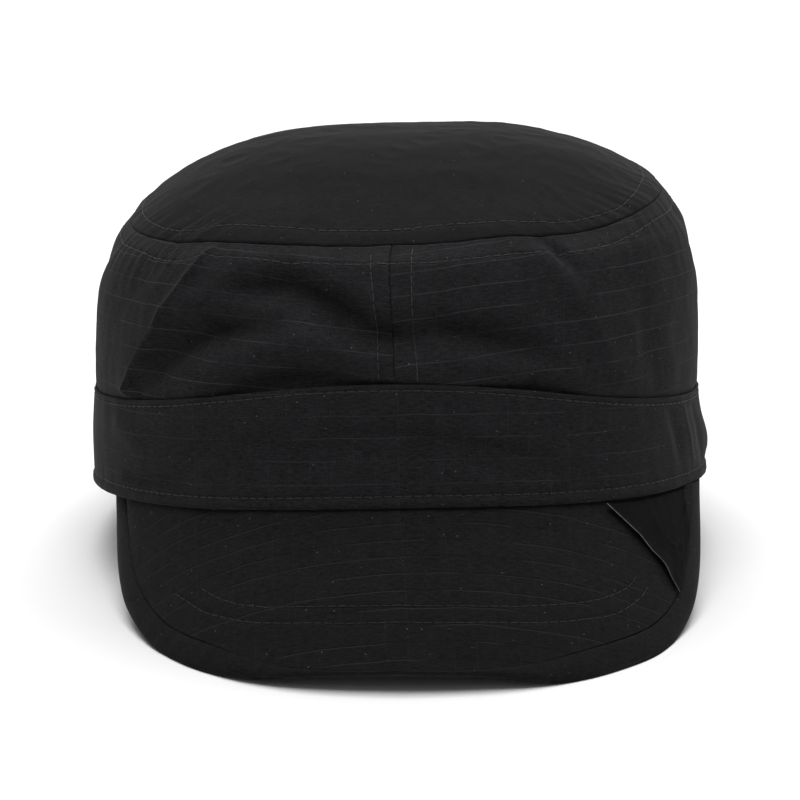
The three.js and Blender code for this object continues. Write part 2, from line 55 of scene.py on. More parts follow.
ROOT = np.array([0.0, -103.0, 39.9])
ARCH_LEFT, ARCH_RIGHT = 0.985, 1.04
VISOR_TUCK, VISOR_UNDER = 1.2, 0.75
OUTLINE_LEFT, OUTLINE_RIGHT = 0.9, 1.4   # cloth edge past the frame's edge strip

# level, left, right, front, back, frontZ, sideZ, backZ, lift, lean, square, midX
WALL_ROWS = [
    (0.00, 91.5, 91.5, 103, 102, 36.3, 21.8, -2.0, 3.6, 0.018, 2.20, 0.0),
    (0.40, 90.0, 89.5, 101, 101, 66.8, 48.8, 35.3, 7.0, 0.004, 2.22, -0.8),
    (0.70, 88.5, 88.8, 96, 98, 91.8, 77.8, 64.3, 2.0, 0.012, 2.20, -0.8),
    (0.88, 84.4, 84.9, 91, 94, 104.1, 95.3, 83.3, 0.0, 0.032, 2.25, -0.5),
    (1.00, 79.2, 76.2, 84, 88, 109.2, 105.1, 94.3, 0.0, 0.052, 2.30, 0.3),
]
WALL_KEYS = ("left", "right", "front", "back", "frontZ", "sideZ", "backZ", "lift", "lean", "square", "midX")
# deg, drop
SEAM_SAG = [
    (-180, 0.4), (-120, 1.0), (-78, 2.4), (-62, 2.2), (-50, 1.6), (-40, 0.2), (-26, -0.4), (-10, 0.2), (4, 0.6),
    (18, 0.2), (27, 1.6), (38, 2.6), (52, 2.0), (66, 1.0), (90, 0.6), (130, 1.4), (180, 0.4),
]
# Folds of the crown wall. Each is a line of (deg, level, height in mm), with
# its width on the left and on the right of the line as it runs, and how round
# its top is; 0 is a soft bell.
WALL_FOLDS = [
    dict(line=[(-35.0, 1.0, 0.2), (-37.0, .95, 0.5), (-39.2, .86, 0.8), (-41.4, .77, 1.0), (-45.2, .70, 1.1), (-47.6, .63, 1.3), (-51.6, .565, 1.6), (-55.2, .50, 1.9), (-57.2, .42, 2.0)], left=3.4, right=7.0, round=0.6),
    dict(line=[(-35.0, 1.0, 0.1), (-37.0, .95, 0.4), (-39.2, .86, 0.55), (-41.4, .77, 0.6), (-45.2, .70, 0.6), (-47.6, .63, 0.6), (-51.6, .565, 0.6), (-55.2, .50, 0.6), (-57.2, .42, 0.6)], left=1.0, right=1.7, round=0.3),
    dict(line=[(-46, .95, -0.3), (-54, .82, -0.7), (-62, .70, -0.5)], left=8, right=9, round=0),
    dict(line=[(-32, .72, -0.9), (-26, .80, -3.6), (-18, .845, -5.0), (-9.5, .745, -5.2), (-4, .63, -4.6), (1, .59, -2.8)], left=4.4, right=7.6, round=0),
    dict(line=[(-53.5, .49, -2.2), (-48.5, .54, -4.4), (-42.5, .60, -5.4), (-35, .655, -5.2), (-27, .65, -3.8), (-22, .63, -1.0)], left=4.6, right=7.0, round=0),
    dict(line=[(-40, .73, 1.2), (-28, .72, 1.2), (-20, .70, 0.8)], left=4, right=4, round=0),
    dict(line=[(-34, .41, -0.4), (-26, .43, -2.4), (-17, .45, -3.4), (-10, .445, -3.0), (-3, .405, -1.0)], left=4.6, right=5, round=0),
    dict(line=[(-30, .52, 1.6), (-14, .58, 2.0), (-6, .49, 1.4)], left=6, right=6, round=0),
    dict(line=[(1, .63, -2.2), (7, .635, -4.0), (14, .61, -4.4), (21, .58, -3.6), (26, .52, -1.6)], left=4.4, right=6.4, round=0),
    dict(line=[(15, .42, -0.8), (22, .425, -2.4), (30, .41, -1.0)], left=4.2, right=4.4, round=0),
    dict(line=[(8, .50, 0.8), (18, .46, 1.4), (30, .46, 0.8)], left=4, right=4, round=0),
    dict(line=[(24, .97, 0.5), (27, .88, 1.0), (31, .76, 1.3), (36, .62, 1.3), (40, .52, 1.0), (44, .44, 0.5)], left=11, right=6, round=3.0),
    dict(line=[(27.5, .985, -0.9), (30, .91, -1.5), (32.5, .83, -0.7)], left=3.0, right=3.4, round=0),
    dict(line=[(46, .80, -0.4), (50, .62, -0.7), (53, .48, -0.5)], left=6, right=6, round=0),
    dict(line=[(60, .74, -0.25), (66, .50, -0.3)], left=9, right=9, round=0),
    dict(line=[(54, .86, 0.05), (58, .66, 0.1), (61, .48, 0.08)], left=5, right=5, round=1.5),
    dict(line=[(-80, .93, -0.8), (-92, .74, -0.8)], left=7, right=7, round=0),
    dict(line=[(82, .92, -0.8), (88, .76, -0.8)], left=7, right=7, round=0),
    dict(line=[(-124, .92, -1.2), (-136, .74, -2.4), (-150, .50, -1.8)], left=8, right=8, round=0),
    dict(line=[(-144, .90, 0.8), (-154, .70, 1.8), (-163, .50, 1.2)], left=6, right=8, round=1.0),
    dict(line=[(120, .86, -1.2), (136, .68, -2.4), (152, .52, -1.4)], left=8, right=8, round=0),
    dict(line=[(108, .80, 0.8), (118, .62, 1.4), (128, .46, 0.9)], left=7, right=5, round=1.0),
    dict(line=[(165, .68, -1.0), (180, .63, -1.8), (196, .60, -1.0)], left=9, right=9, round=0),
    dict(line=[(150, .46, -0.8), (172, .43, -1.6), (192, .46, -1.0)], left=6, right=6, round=0),
]
BAND_FOLDS = [
    dict(line=[(-34, .215, -0.7), (-24, .20, -1.3), (-12, .165, -0.8)], left=3.2, right=5.5, round=0),
    dict(line=[(-10, .225, -0.7), (0, .21, -1.3), (14, .175, -1.3), (23, .14, -0.6)], left=3.2, right=5.5, round=0),
    dict(line=[(-56, .08, -0.6), (-48, .085, -1.1), (-40, .09, -0.6)], left=3.4, right=4.5, round=0),
    dict(line=[(-60, .30, 0.3), (-54, .24, 0.5), (-47, .20, 0.2)], left=4, right=4, round=0),
    dict(line=[(58, .37, -0.3), (61, .22, -0.45), (62, .09, -0.2)], left=3.4, right=3.4, round=0),
    dict(line=[(65, .36, 0.2), (67, .22, 0.3), (68, .10, 0.2)], left=3, right=3, round=0.6),
    dict(line=[(72, .34, -0.25), (74, .20, -0.3), (76, .10, -0.15)], left=3, right=3, round=0),
    dict(line=[(74, .24, 0.3), (82, .19, 0.75), (92, .12, 0.8), (104, .10, 0.3)], left=8, right=9, round=0),
    dict(line=[(-100, .22, 0.1), (-88, .22, 0.22), (-76, .20, 0.1)], left=9, right=9, round=0),
    dict(line=[(150, .28, -0.6), (163, .25, -0.9), (176, .22, -0.6)], left=7, right=7, round=0),
    dict(line=[(-168, .30, -0.4), (-150, .18, -0.8), (-135, .16, -0.4)], left=6, right=6, round=0),
]
# side, drop
ARCH_ROWS = [
    (0, 0), (20, 1.9), (40, 7.9), (55, 16.0), (66, 24.6), (73, 31.5), (78, 38.0), (81.5, 44.0), (84, 50.5), (85.5, 57.0),
]
# share, rimDeg, seamSide, seamOut, edgeSide, edgeOut
VISOR_LEFT = [
    (0.000, 0.0, 0.0, 51.6, 0.0, 52.2), (0.083, 10.0, 12.0, 51.4, 12.0, 52.1), (0.167, 20.0, 23.0, 50.2, 24.0, 51.4),
    (0.250, 29.0, 32.7, 47.4, 35.1, 49.8), (0.333, 36.0, 44.3, 41.3, 47.5, 46.0), (0.417, 42.0, 53.8, 35.2, 58.2, 40.9),
    (0.500, 46.5, 63.0, 29.0, 68.1, 33.7), (0.583, 50.0, 71.2, 21.7, 76.6, 25.7), (0.667, 52.5, 78.2, 12.7, 83.9, 15.9),
    (0.750, 54.3, 83.8, 2.8, 90.3, 6.0), (0.833, 55.5, 87.3, -7.5, 94.9, -4.6), (0.917, 56.3, 89.8, -17.5, 98.8, -16.6),
    (1.000, 57.0, 92.1, -27.2, 102.5, -37.0),
]
VISOR_RIGHT = [
    (0.000, 0.0, 0.0, 51.6, 0.0, 52.2), (0.083, 10.0, 12.0, 51.4, 12.0, 52.1), (0.167, 20.0, 23.0, 50.2, 24.0, 51.4),
    (0.250, 29.0, 33.1, 47.5, 35.4, 50.4), (0.333, 36.5, 44.8, 42.2, 48.4, 47.6), (0.417, 43.0, 55.3, 36.4, 60.1, 43.0),
    (0.500, 48.5, 65.0, 30.4, 70.2, 37.5), (0.583, 53.0, 72.8, 24.9, 78.3, 31.2), (0.667, 56.5, 79.6, 18.1, 84.7, 22.3),
    (0.750, 59.0, 85.8, 9.6, 91.7, 12.8), (0.833, 60.8, 90.1, -1.0, 96.9, 2.6), (0.917, 62.0, 93.5, -15.0, 102.7, -13.0),
    (1.000, 63.0, 97.1, -33.0, 106.8, -39.5),
]
# out, share
LABEL_EDGE = [(0.0, 0.310), (0.1, 0.370), (0.2, 0.427), (0.3, 0.480), (0.42, 0.544), (0.5, 0.592), (0.6, 0.642), (0.8, 0.712), (1.0, 0.763)]
LABEL_END = 0.93
LABEL_CLEAR = 2.2

# Rows of stitching. deg, distance from the top seam down the wall
LOWER_ROW = [
    (-180, 6.2), (-100, 6.0), (-64, 5.2), (-50, 6.6), (-43, 7.2), (-37, 5.4), (-24, 5.8), (-13, 6.4), (-5, 7.0), (3, 7.2),
    (11, 6.8), (25, 6.4), (39, 6.4), (55, 5.0), (64, 4.6), (85, 5.6), (180, 6.2),
]
# deg, distance from the top seam up the top panel
UPPER_ROW = [
    (-180, 6.0), (-100, 5.6), (-84, 5.2), (-56, 3.8), (-43, 4.8), (-36, 6.4), (-22, 6.0), (-2, 5.4), (7, 6.4), (16, 5.6),
    (25, 5.2), (32, 4.2), (41, 3.8), (52, 3.6), (65, 5.2), (77, 6.6), (180, 6.0),
]
# side, out of the two rows across the visor, before the arch is bent
VISOR_ROW_A = [
    (-57.8, 15.9), (-53.3, 20.0), (-47.7, 23.7), (-43.3, 25.9), (-30, 29.4), (-15, 31.0), (0, 31.5), (15, 31.0), (28, 29.8),
    (40, 27.1), (45.7, 25.4), (53.9, 22.3), (58.8, 19.6), (64.1, 15.9), (67.4, 12.9), (71.8, 6.3),
]
VISOR_ROW_B = [
    (-67.6, 13.8), (-61.8, 19.3), (-57.2, 23.5), (-48.5, 28.6), (-42.5, 31.3), (-28, 34.8), (-14, 36.4), (0, 36.7), (14, 36.3),
    (30, 34.6), (44.3, 31.4), (51.1, 28.9), (54.6, 27.5), (61.7, 24.0), (65.6, 21.0), (71.7, 14.8), (75.8, 8.2),
]
STITCH = 2.95      # pitch of the stitches
STITCH_LEN = 2.75
STITCH_R = 0.165


# ------------------------------------------------------------------ maths
def curve(xs, ys):
    """Smooth curve through points without overshoot, for arrays."""
    x, y = np.array(xs, float), np.array(ys, float)
    h = np.diff(x)
    s = np.diff(y) / h
    m = np.zeros(len(x))
    for i in range(1, len(x) - 1):
        if s[i - 1] * s[i] > 0:
            a, b = 2 * h[i] + h[i - 1], h[i] + 2 * h[i - 1]
            m[i] = (a + b) / (a / s[i - 1] + b / s[i])
    m[0], m[-1] = s[0], s[-1]

    def at(t):
        t = np.asarray(t, float)
        i = np.clip(np.searchsorted(x, t, side="right") - 1, 0, len(x) - 2)
        u = (t - x[i]) / h[i]
        v = 1 - u
        return (1 + 2 * u) * v * v * y[i] + u * v * v * h[i] * m[i] + u * u * (3 - 2 * u) * y[i + 1] - u * u * v * h[i] * m[i + 1]

    return at


def table(rows, k, key=0):
    return curve([r[key] for r in rows], [r[k] for r in rows])


def smooth(t):
    c = np.clip(t, 0, 1)
    return c * c * (3 - 2 * c)


def spow(a, p):
    return np.sign(a) * np.abs(a) ** p


def unit(v):
    return v / np.maximum(np.linalg.norm(v, axis=-1, keepdims=True), 1e-12)


def wrapped(deg):
    return (np.asarray(deg, float) + 180.0) % 360.0 - 180.0


def waves(seed, count, wave, spread=0.35, dirs=None):
    """Smooth seeded noise of two coordinates, about -1 to 1."""
    rng = np.random.default_rng(seed)
    lam = wave * np.exp(rng.uniform(-spread, spread, count))
    ang = rng.uniform(0, math.pi, count) if dirs is None else rng.uniform(dirs[0], dirs[1], count)
    kx, ky, ph = 2 * math.pi / lam * np.cos(ang), 2 * math.pi / lam * np.sin(ang), rng.uniform(0, 2 * math.pi, count)

    def at(u, v):
        total = 0
        for a, b, c in zip(kx, ky, ph):
            total = total + np.sin(a * u + b * v + c)
        return total / math.sqrt(count / 2) / 1.6

    return at


def fold_height(folds, deg, level, positive=None):
    """Height of the folds at places on the wall."""
    px0, py = deg * math.pi / 180 * FOLD_R, level * FOLD_H
    total = np.zeros(np.broadcast(px0, py).shape)
    turn = 2 * math.pi * FOLD_R
    for f in folds:
        pts = [(a * math.pi / 180 * FOLD_R, b * FOLD_H, h) for a, b, h in f["line"]]
        mid = 0.5 * (pts[0][0] + pts[-1][0])
        px = px0 - turn * np.round((px0 - mid) / turn)
        best, side, height = np.full(total.shape, 1e9), np.zeros(total.shape), np.zeros(total.shape)
        for (ax, ay, ah), (bx, by, bh) in zip(pts, pts[1:]):
            ex, ey = bx - ax, by - ay
            l2 = ex * ex + ey * ey
            t = np.clip(((px - ax) * ex + (py - ay) * ey) / l2, 0, 1)
            qx, qy = px - ax - t * ex, py - ay - t * ey
            d = np.hypot(qx, qy)
            near = d < best
            best = np.where(near, d, best)
            side = np.where(near, ex * qy - ey * qx, side)
            height = np.where(near, ah + t * (bh - ah), height)
        w = f["right"] + (f["left"] - f["right"]) * smooth(0.5 + side / np.maximum(best, 1e-6) / 1.0 / np.hypot(pts[1][0] - pts[0][0], pts[1][1] - pts[0][1]) * 0.5)
        if f["round"]:
            r = f["round"]
            total += height * np.exp(-(np.sqrt(best * best + r * r) - r) / (0.62 * w))
        else:
            total += height * np.exp(-((best / w) ** 2))
    return total * FOLD_DEPTH[len(folds) == len(BAND_FOLDS)]


# ------------------------------------------------------------------ crown wall
wall_curve = {k: table(WALL_ROWS, i + 1) for i, k in enumerate(WALL_KEYS)}
seam_sag = table(SEAM_SAG, 1)


def wall_base(deg, level):
    deg, level = np.broadcast_arrays(np.asarray(deg, float), np.asarray(level, float))
    a = np.radians(deg)
    s, c = np.sin(a), np.cos(a)
    w = {k: f(level) for k, f in wall_curve.items()}
    e = 2 / w["square"]
    x = w["midX"] + spow(s, e) * np.where(s > 0, w["right"], w["left"])
    y = -spow(c, e) * np.where(c > 0, w["front"], w["back"])
    d = wrapped(deg)
    z = (w["sideZ"] + (w["frontZ"] - w["backZ"]) / 2 * c + ((w["frontZ"] + w["backZ"]) / 2 - w["sideZ"]) * c * c
         + w["lean"] * x + w["lift"] * np.exp(-((d / FRONT_LIFT_WIDTH) ** 2)))
    return np.stack([x, y, z - seam_sag(d) * smooth((level - 0.72) / 0.28)], -1)


def surface_normal(fn, a, b, da, db):
    return unit(np.cross(fn(a + da, b) - fn(a - da, b), fn(a, b + db) - fn(a, b - db)))


def dome_point(deg, r):
    deg, r = np.broadcast_arrays(np.asarray(deg, float), np.asarray(r, float))
    rim = wall_base(deg, np.ones_like(deg))
    sag = seam_sag(wrapped(deg))
    rim[..., 2] += sag
    mid = np.array([DOME_CENTRE[0], DOME_CENTRE[1], (WALL_ROWS[4][5] + WALL_ROWS[4][7]) / 2])
    p = mid + (rim - mid) * r[..., None]
    p[..., 2] += -sag * r ** 6 + DOME_RISE * (1 - np.minimum(1, r) ** DOME_SQUARE) ** DOME_ROUND - DOME_LEAN * p[..., 0] * (1 - r ** 4)
    return p


def dome_normal_raw(deg, r):
    n = -surface_normal(dome_point, deg, np.clip(r, 0.02, 0.985), 0.5, 0.01)
    return np.where((np.broadcast_to(r, n.shape[:-1]) < 0.02)[..., None], np.array([0, 0, 1.0]), n)


def seam_normal(deg):
    return unit(surface_normal(wall_base, deg, np.full_like(deg, 0.975), 0.5, 0.01) + dome_normal_raw(deg, np.full_like(deg, 0.965)))


def dome_normal(deg, r):
    t = smooth((r - 0.9) / 0.09)[..., None]
    return unit(dome_normal_raw(deg, r) * (1 - t) + seam_normal(deg) * t)


def wall_normal(deg, level):
    n = surface_normal(wall_base, deg, np.clip(level, 0.015, 0.985), 0.5, 0.01)
    n[..., 2] *= smooth(level / 0.08)
    n = unit(n)
    t = smooth((level - 0.9) / 0.09)[..., None]
    return unit(n * (1 - t) + seam_normal(deg) * t)


# Arc length round the wall from the front centre, and up it from the rim.
_deg = np.linspace(-180, 180, 2881)
_ring = wall_base(_deg, np.full_like(_deg, 0.62))
_arc = np.concatenate([[0], np.cumsum(np.linalg.norm(np.diff(_ring, axis=0), axis=1))])
_arc -= np.interp(0, _deg, _arc)
_lev = np.linspace(0, 1, 401)
_cols = np.linspace(-180, 180, 361)
_grid = wall_base(_cols[:, None], _lev[None, :])
_up = np.concatenate([np.zeros((361, 1)), np.cumsum(np.linalg.norm(np.diff(_grid, axis=1), axis=2), axis=1)], axis=1)
_dr = np.linspace(0, 1, 401)
_dome = dome_point(_cols[:, None], _dr[None, :])
_across = np.concatenate([np.zeros((361, 1)), np.cumsum(np.linalg.norm(np.diff(_dome, axis=1), axis=2), axis=1)], axis=1)


def arc_of(deg):
    return np.interp(wrapped(deg), _deg, _arc)


def deg_of(arc):
    return np.interp(arc, _arc, _deg)


def _bilinear(tab, deg, t, n):
    i = np.clip((wrapped(deg) + 180.0), 0, 359.999)
    j = np.clip(np.asarray(t) * n, 0, n - 1e-6)
    i, j = np.broadcast_arrays(i, j)
    i0, j0 = i.astype(int), j.astype(int)
    a, b = i - i0, j - j0
    return ((1 - a) * (1 - b) * tab[i0, j0] + a * (1 - b) * tab[i0 + 1, j0] + (1 - a) * b * tab[i0, j0 + 1] + a * b * tab[i0 + 1, j0 + 1])


def height_of(deg, level):
    """Distance up the wall from the rim."""
    return _bilinear(_up, deg, level, 400)


def below_seam(deg, level):
    return _bilinear(_up, deg, 1.0, 400) - _bilinear(_up, deg, level, 400)


def inside_seam(deg, r):
    """Distance up the top panel from its seam."""
    return _bilinear(_across, deg, 1.0, 400) - _bilinear(_across, deg, r, 400)


def level_at(deg, below):
    """Level a given distance below the top seam."""
    deg, below = np.broadcast_arrays(np.asarray(deg, float), np.asarray(below, float))
    out = np.empty(deg.shape)
    for k in np.ndindex(deg.shape):
        h = _bilinear(_up, deg[k], _lev, 400)
        out[k] = np.interp(h[-1] - below[k], h, _lev)
    return out


def r_at(deg, inside):
    deg, inside = np.broadcast_arrays(np.asarray(deg, float), np.asarray(inside, float))
    out = np.empty(deg.shape)
    for k in np.ndindex(deg.shape):
        h = _bilinear(_across, deg[k], _dr, 400)
        out[k] = np.interp(h[-1] - inside[k], h, _dr)
    return out


lower_row, upper_row = table(LOWER_ROW, 1), table(UPPER_ROW, 1)
FRONT_TWIN = {-1: curve([0, 1], [4.3, 5.4]), 1: curve([0, 1], [6.0, 4.8])}   # level share up the panel -> mm from the seam


# The front seam leans a little to one side of the middle.
def lean_deg(deg, level):
    return np.asarray(deg, float) - (0.3 + 0.8 * smooth((level - 0.4) / 0.6)) * np.exp(-((wrapped(deg) / 28.0) ** 2))


def twin_distance(deg, level):
    """Signed distance to the nearer of the two rows beside a vertical seam, and distance to the seam."""
    u = arc_of(deg)
    share = np.clip((level - 0.4) / 0.6, 0, 1)
    scale = 1 - 0.10 * smooth((level - 0.62) / 0.38)
    front = np.abs(u) * scale
    row = np.where(u < 0, FRONT_TWIN[-1](share), FRONT_TWIN[1](share))
    rear = (np.minimum(np.abs(u - _arc[0]), np.abs(u - _arc[-1]))) * scale
    return front, front - row, rear, rear - 5.0


def roll(d, r):
    """How far a seam edge of radius r has turned in at distance d from the seam."""
    t = np.clip(1 - d / r, 0, 1)
    return r * (1 - np.sqrt(np.maximum(0, 1 - t * t)))


def allowance(d, row, height):
    """Seam allowance under the cloth: a flat ridge from the seam to a little past its row."""
    return height * smooth(d / 0.7) * (1 - smooth((d - row - 0.4) / 1.5))


def seam_open(deg):
    """The top seam is pulled shut where it is gathered at the front corners."""
    return 1 - 0.92 * np.exp(-((wrapped(deg) + 60) / 24.0) ** 2) - 0.4 * np.exp(-((wrapped(deg) - 66) / 14.0) ** 2)


def row_dip(d, deep, wide=0.75):
    return -deep * np.exp(-((d / wide) ** 2))


_pk1, _pk2, _pk3 = waves(11, 7, 9.0, 0.45, (0.0, 0.02)), waves(12, 7, 15.0, 0.4, (0.0, 0.02)), waves(13, 9, 24.0, 0.5)
_pk4, _cr1, _cr2 = waves(14, 7, 6.0, 0.4, (0.0, 0.02)), waves(15, 9, 19.0, 0.5), waves(16, 9, 11.0, 0.5)


def wall_detail(deg, level):
    """Seam allowances, stitch dips, puckers and small creases of the crown wall, outward in mm."""
    u, h = arc_of(deg), height_of(deg, level)
    d = below_seam(deg, level)
    row = lower_row(wrapped(deg))
    front, df, rear, dr_ = twin_distance(deg, level)
    z = allowance(d, row, 0.26) + row_dip(d - row, 0.22)
    z += allowance(front, front - df, 0.26) + row_dip(df, 0.18) + allowance(rear, rear - dr_, 0.26) + row_dip(dr_, 0.18)
    z -= roll(d, 0.24) * seam_open(deg) + roll(front, 0.36) + roll(rear, 0.36)
    near = np.exp(-np.maximum(0, np.abs(d - row) - 1) / 5.5)
    corner = 0.5 + 0.9 * np.exp(-((np.abs(wrapped(deg)) - 52) / 16.0) ** 2)
    calm = 1 - 0.65 * smooth((np.abs(wrapped(deg)) - 44) / 12.0)
    z += near * corner * (0.08 * _pk1(u, h * 0) + 0.13 * _pk4(u + 0.25 * d, h * 0) - 0.16 * np.exp(-np.abs(_pk4(u + 0.5 * d, h * 0)) / 0.22))
    z += 0.08 * np.exp(-d / 16.0) * _pk2(u + 0.3 * d, h * 0) * corner
    z += (0.13 * _pk3(u, h) + 0.10 * (1 - 2.2 * np.abs(_cr1(u, h))) * smooth((d - 4) / 8)) * calm + 0.05 * _cr2(u, h)
    z += 0.10 * np.exp(-(front + rear * 0) / 7.0) * waves(17, 5, 10.0, 0.4, (1.55, 1.57))(u * 0, h)
    return z


# The wall goes in behind the band, whose top edge is thin.
crown_inset = curve([0, 0.30, 0.345, 0.372, 0.398, 0.409, 0.418, 0.44, 0.52, 1.0], [1.95, 1.95, 1.85, 1.55, 0.98, 0.62, 0.40, 0.26, 0.0, 0.0])


def crown_outer(deg, level):
    """Offset of the crown wall's outer face from the base surface."""
    f = fold_height(WALL_FOLDS, deg, level)
    top = 1 - 0.6 * smooth((level - 0.93) / 0.07)
    f = np.where(f > 0, f * smooth((level - 0.40) / 0.045), f * smooth((level - 0.30) / 0.08)) * top
    z = f + wall_detail(deg, level) * smooth((level - 0.40) / 0.03)
    return z - crown_inset(level)


def crown_point(deg, level, depth=0.0):
    d = lean_deg(deg, level)
    p = wall_base(d, level) + wall_normal(d, level) * (crown_outer(deg, level) - depth)[..., None]
    low = level <= 0.001
    rim = np.maximum(0, wall_base(d, level * 0)[..., 2])
    p[..., 2] = np.where(low, rim + 2.6, np.maximum(p[..., 2], rim + 2.2))
    return p


# ------------------------------------------------------------------ band
_bp1, _bp2, _bp3 = waves(21, 7, 8.0, 0.4, (0.0, 0.02)), waves(22, 9, 20.0, 0.5), waves(23, 7, 13.0, 0.4, (0.0, 0.02))


def band_outer(deg, level):
    u, h = arc_of(deg), height_of(deg, level)
    full = height_of(deg, BAND_TOP)
    top, low = full - h, h
    f = fold_height(BAND_FOLDS, deg, level) * smooth((level - 0.03) / 0.07) * (1 - smooth((level - 0.33) / 0.06))
    z = f + row_dip(top - 1.7, 0.22, 0.55) + row_dip(low - 2.8, 0.30, 0.6)
    z += 0.10 * smooth(1 - top / 1.7) + 0.42 * np.exp(-((low - 1.1) / 1.3) ** 2)
    z += 0.12 * np.exp(-np.abs(low - 2.8) / 4.5) * _bp1(u, h * 0) + 0.10 * np.exp(-top / 5.0) * _bp3(u, h * 0)
    z += 0.12 * _bp2(u, h)
    z -= roll(top, 0.6) + roll(low + 0.25, 0.85)
    return z


def band_point(deg, level, depth=0.0, extra=0.0):
    p = wall_base(deg, np.maximum(level, 0)) + wall_normal(deg, np.maximum(level, 0)) * (band_outer(deg, np.maximum(level, 0)) - depth)[..., None]
    p[..., 2] -= extra
    p[..., 2] = np.maximum(p[..., 2], 0.0)
    return p


# ------------------------------------------------------------------ top panel
_tp1, _tp2, _tp3, _tp4 = waves(31, 7, 9.0, 0.4, (0.0, 0.02)), waves(32, 9, 26.0, 0.5), waves(33, 9, 14.0, 0.5), waves(34, 7, 16.0, 0.4, (0.0, 0.02))
_tp5 = waves(35, 7, 11.0, 0.4, (0.0, 0.02))


def top_detail(deg, r):
    u = arc_of(deg) * 0.86
    d = inside_seam(deg, r)
    row = upper_row(wrapped(deg))
    p = dome_point(deg, r)
    z = allowance(d, row, 0.24) + row_dip(d - row, 0.22) - roll(d, 0.22) * seam_open(deg)
    corner = 0.45 + 0.9 * np.exp(-((np.abs(wrapped(deg)) - 52) / 18.0) ** 2)
    near = np.exp(-np.maximum(0, np.abs(d - row) - 1) / 6.0)
    rim = smooth((r - 0.35) / 0.3)
    slant = u + 0.9 * np.sign(u) * d
    z += near * corner * rim * (0.10 * _tp1(slant, d * 0) - 0.17 * np.exp(-np.abs(_tp5(slant, d * 0)) / 0.25)) + 0.08 * np.exp(-d / 18.0) * _tp4(slant, d * 0) * corner * rim
    z += 0.14 * _tp2(p[..., 0], p[..., 1]) + 0.07 * (1 - 2.2 * np.abs(_tp3(p[..., 0], p[..., 1])))
    return z


def top_point(deg, r, depth=0.0):
    return dome_point(deg, r) + dome_normal(deg, r) * (top_detail(deg, r) - depth)[..., None]


# ------------------------------------------------------------------ visor
OUTWARD = np.array([0, -math.cos(SLOPE), -math.sin(SLOPE)])
UPWARD = np.array([0, -math.sin(SLOPE), math.cos(SLOPE)])
arch_half = table(ARCH_ROWS, 1)


def arch_table(scale):
    s = ARCH_ROWS[-1][0] * np.arange(241) / 240
    side, drop = s * scale, arch_half(s)
    return np.concatenate([[0], np.cumsum(np.hypot(np.diff(side), np.diff(drop)))]), side, drop


ARCH = {-1: arch_table(ARCH_LEFT), 1: arch_table(ARCH_RIGHT)}


def arch_at(along):
    along = np.asarray(along, float)
    res = [np.zeros(along.shape) for _ in range(4)]
    for sg in (-1, 1):
        al, side, drop = ARCH[sg]
        a = np.minimum(np.abs(along), al[-1])
        i = np.clip(np.searchsorted(al, a, side="left") - 1, 0, len(al) - 2)
        w = al[i + 1] - al[i]
        t = (a - al[i]) / w
        pick = (along < 0) if sg < 0 else (along >= 0)
        vals = (sg * (side[i] + t * (side[i + 1] - side[i])), drop[i] + t * (drop[i + 1] - drop[i]),
                (side[i + 1] - side[i]) / w, sg * (drop[i + 1] - drop[i]) / w)
        res = [np.where(pick, v, r) for v, r in zip(vals, res)]
    return res


def along_of(side):
    side = np.asarray(side, float)
    out = np.zeros(side.shape)
    for sg in (-1, 1):
        al, sd, _ = ARCH[sg]
        a = np.abs(side)
        i = np.clip(np.searchsorted(sd, a, side="left") - 1, 0, len(sd) - 2)
        v = sg * (al[i] + (a - sd[i]) / (sd[i + 1] - sd[i]) * (al[i + 1] - al[i]))
        out = np.where((side < 0) if sg < 0 else (side >= 0), v, out)
    return out


def arch_point(along, out, rise):
    along, out, rise = np.broadcast_arrays(np.asarray(along, float), np.asarray(out, float), np.asarray(rise, float))
    # slopes of the arch are eased between table rows, so the cloth stays smooth
    side, drop, _, _ = arch_at(along)
    e = 1.2
    s1, d1, _, _ = arch_at(along + e)
    s0, d0, _, _ = arch_at(along - e)
    run, fall = (s1 - s0), (d1 - d0)
    n = np.maximum(np.hypot(run, fall), 1e-9)
    run, fall = run / n, fall / n
    x = side + fall * rise
    return ROOT + np.stack([x, 0 * x, 0 * x], -1) + out[..., None] * OUTWARD + (run * rise - drop)[..., None] * UPWARD


VISOR_LEFT.append((1.045, 57.3, 93.0, -31.5, 104.0, -43.0))
VISOR_RIGHT.append((1.045, 63.4, 98.0, -37.0, 108.2, -46.0))


def grown(rows, by):
    """Outline moved out by a little, along each ruling's own end."""
    out = []
    for a, b, c, d, e, f in rows:
        w = math.hypot(e - c, f - d)
        k = by * (0.3 if a < 0.2 else 1.0) * (1 - smooth((a - 0.86) / 0.14))
        out.append((a, b, c, d, e + k * (e - c) / w, f + k * (f - d) / w))
    return out


visor_rows = [(-a, -b, -c, d, -e, f) for a, b, c, d, e, f in grown(VISOR_LEFT, OUTLINE_LEFT)[:0:-1]] + grown(VISOR_RIGHT, OUTLINE_RIGHT)


def eased(f, lo, hi, wide):
    """A curve with its small corners between table rows smoothed out."""
    step = 0.001
    x = np.arange(lo, hi + step / 2, step)
    y = f(x)
    k = int(4 * wide / step)
    before = y[0] + (y[1] - y[0]) * np.arange(-k, 0)
    after = y[-1] + (y[-1] - y[-2]) * np.arange(1, k + 1)
    w = np.exp(-0.5 * (np.arange(-k, k + 1) * step / wide) ** 2)
    z = np.convolve(np.concatenate([before, y, after]), w / w.sum(), "valid")
    return lambda t: np.interp(t, x, z)


visor_curve = {k: table(visor_rows, i + 1) for i, k in enumerate(("rimDeg", "seamSide", "seamOut", "edgeSide", "edgeOut"))}
for _k in ("seamSide", "seamOut", "edgeSide", "edgeOut"):
    visor_curve[_k] = eased(visor_curve[_k], -1.045, 1.045, 0.028)


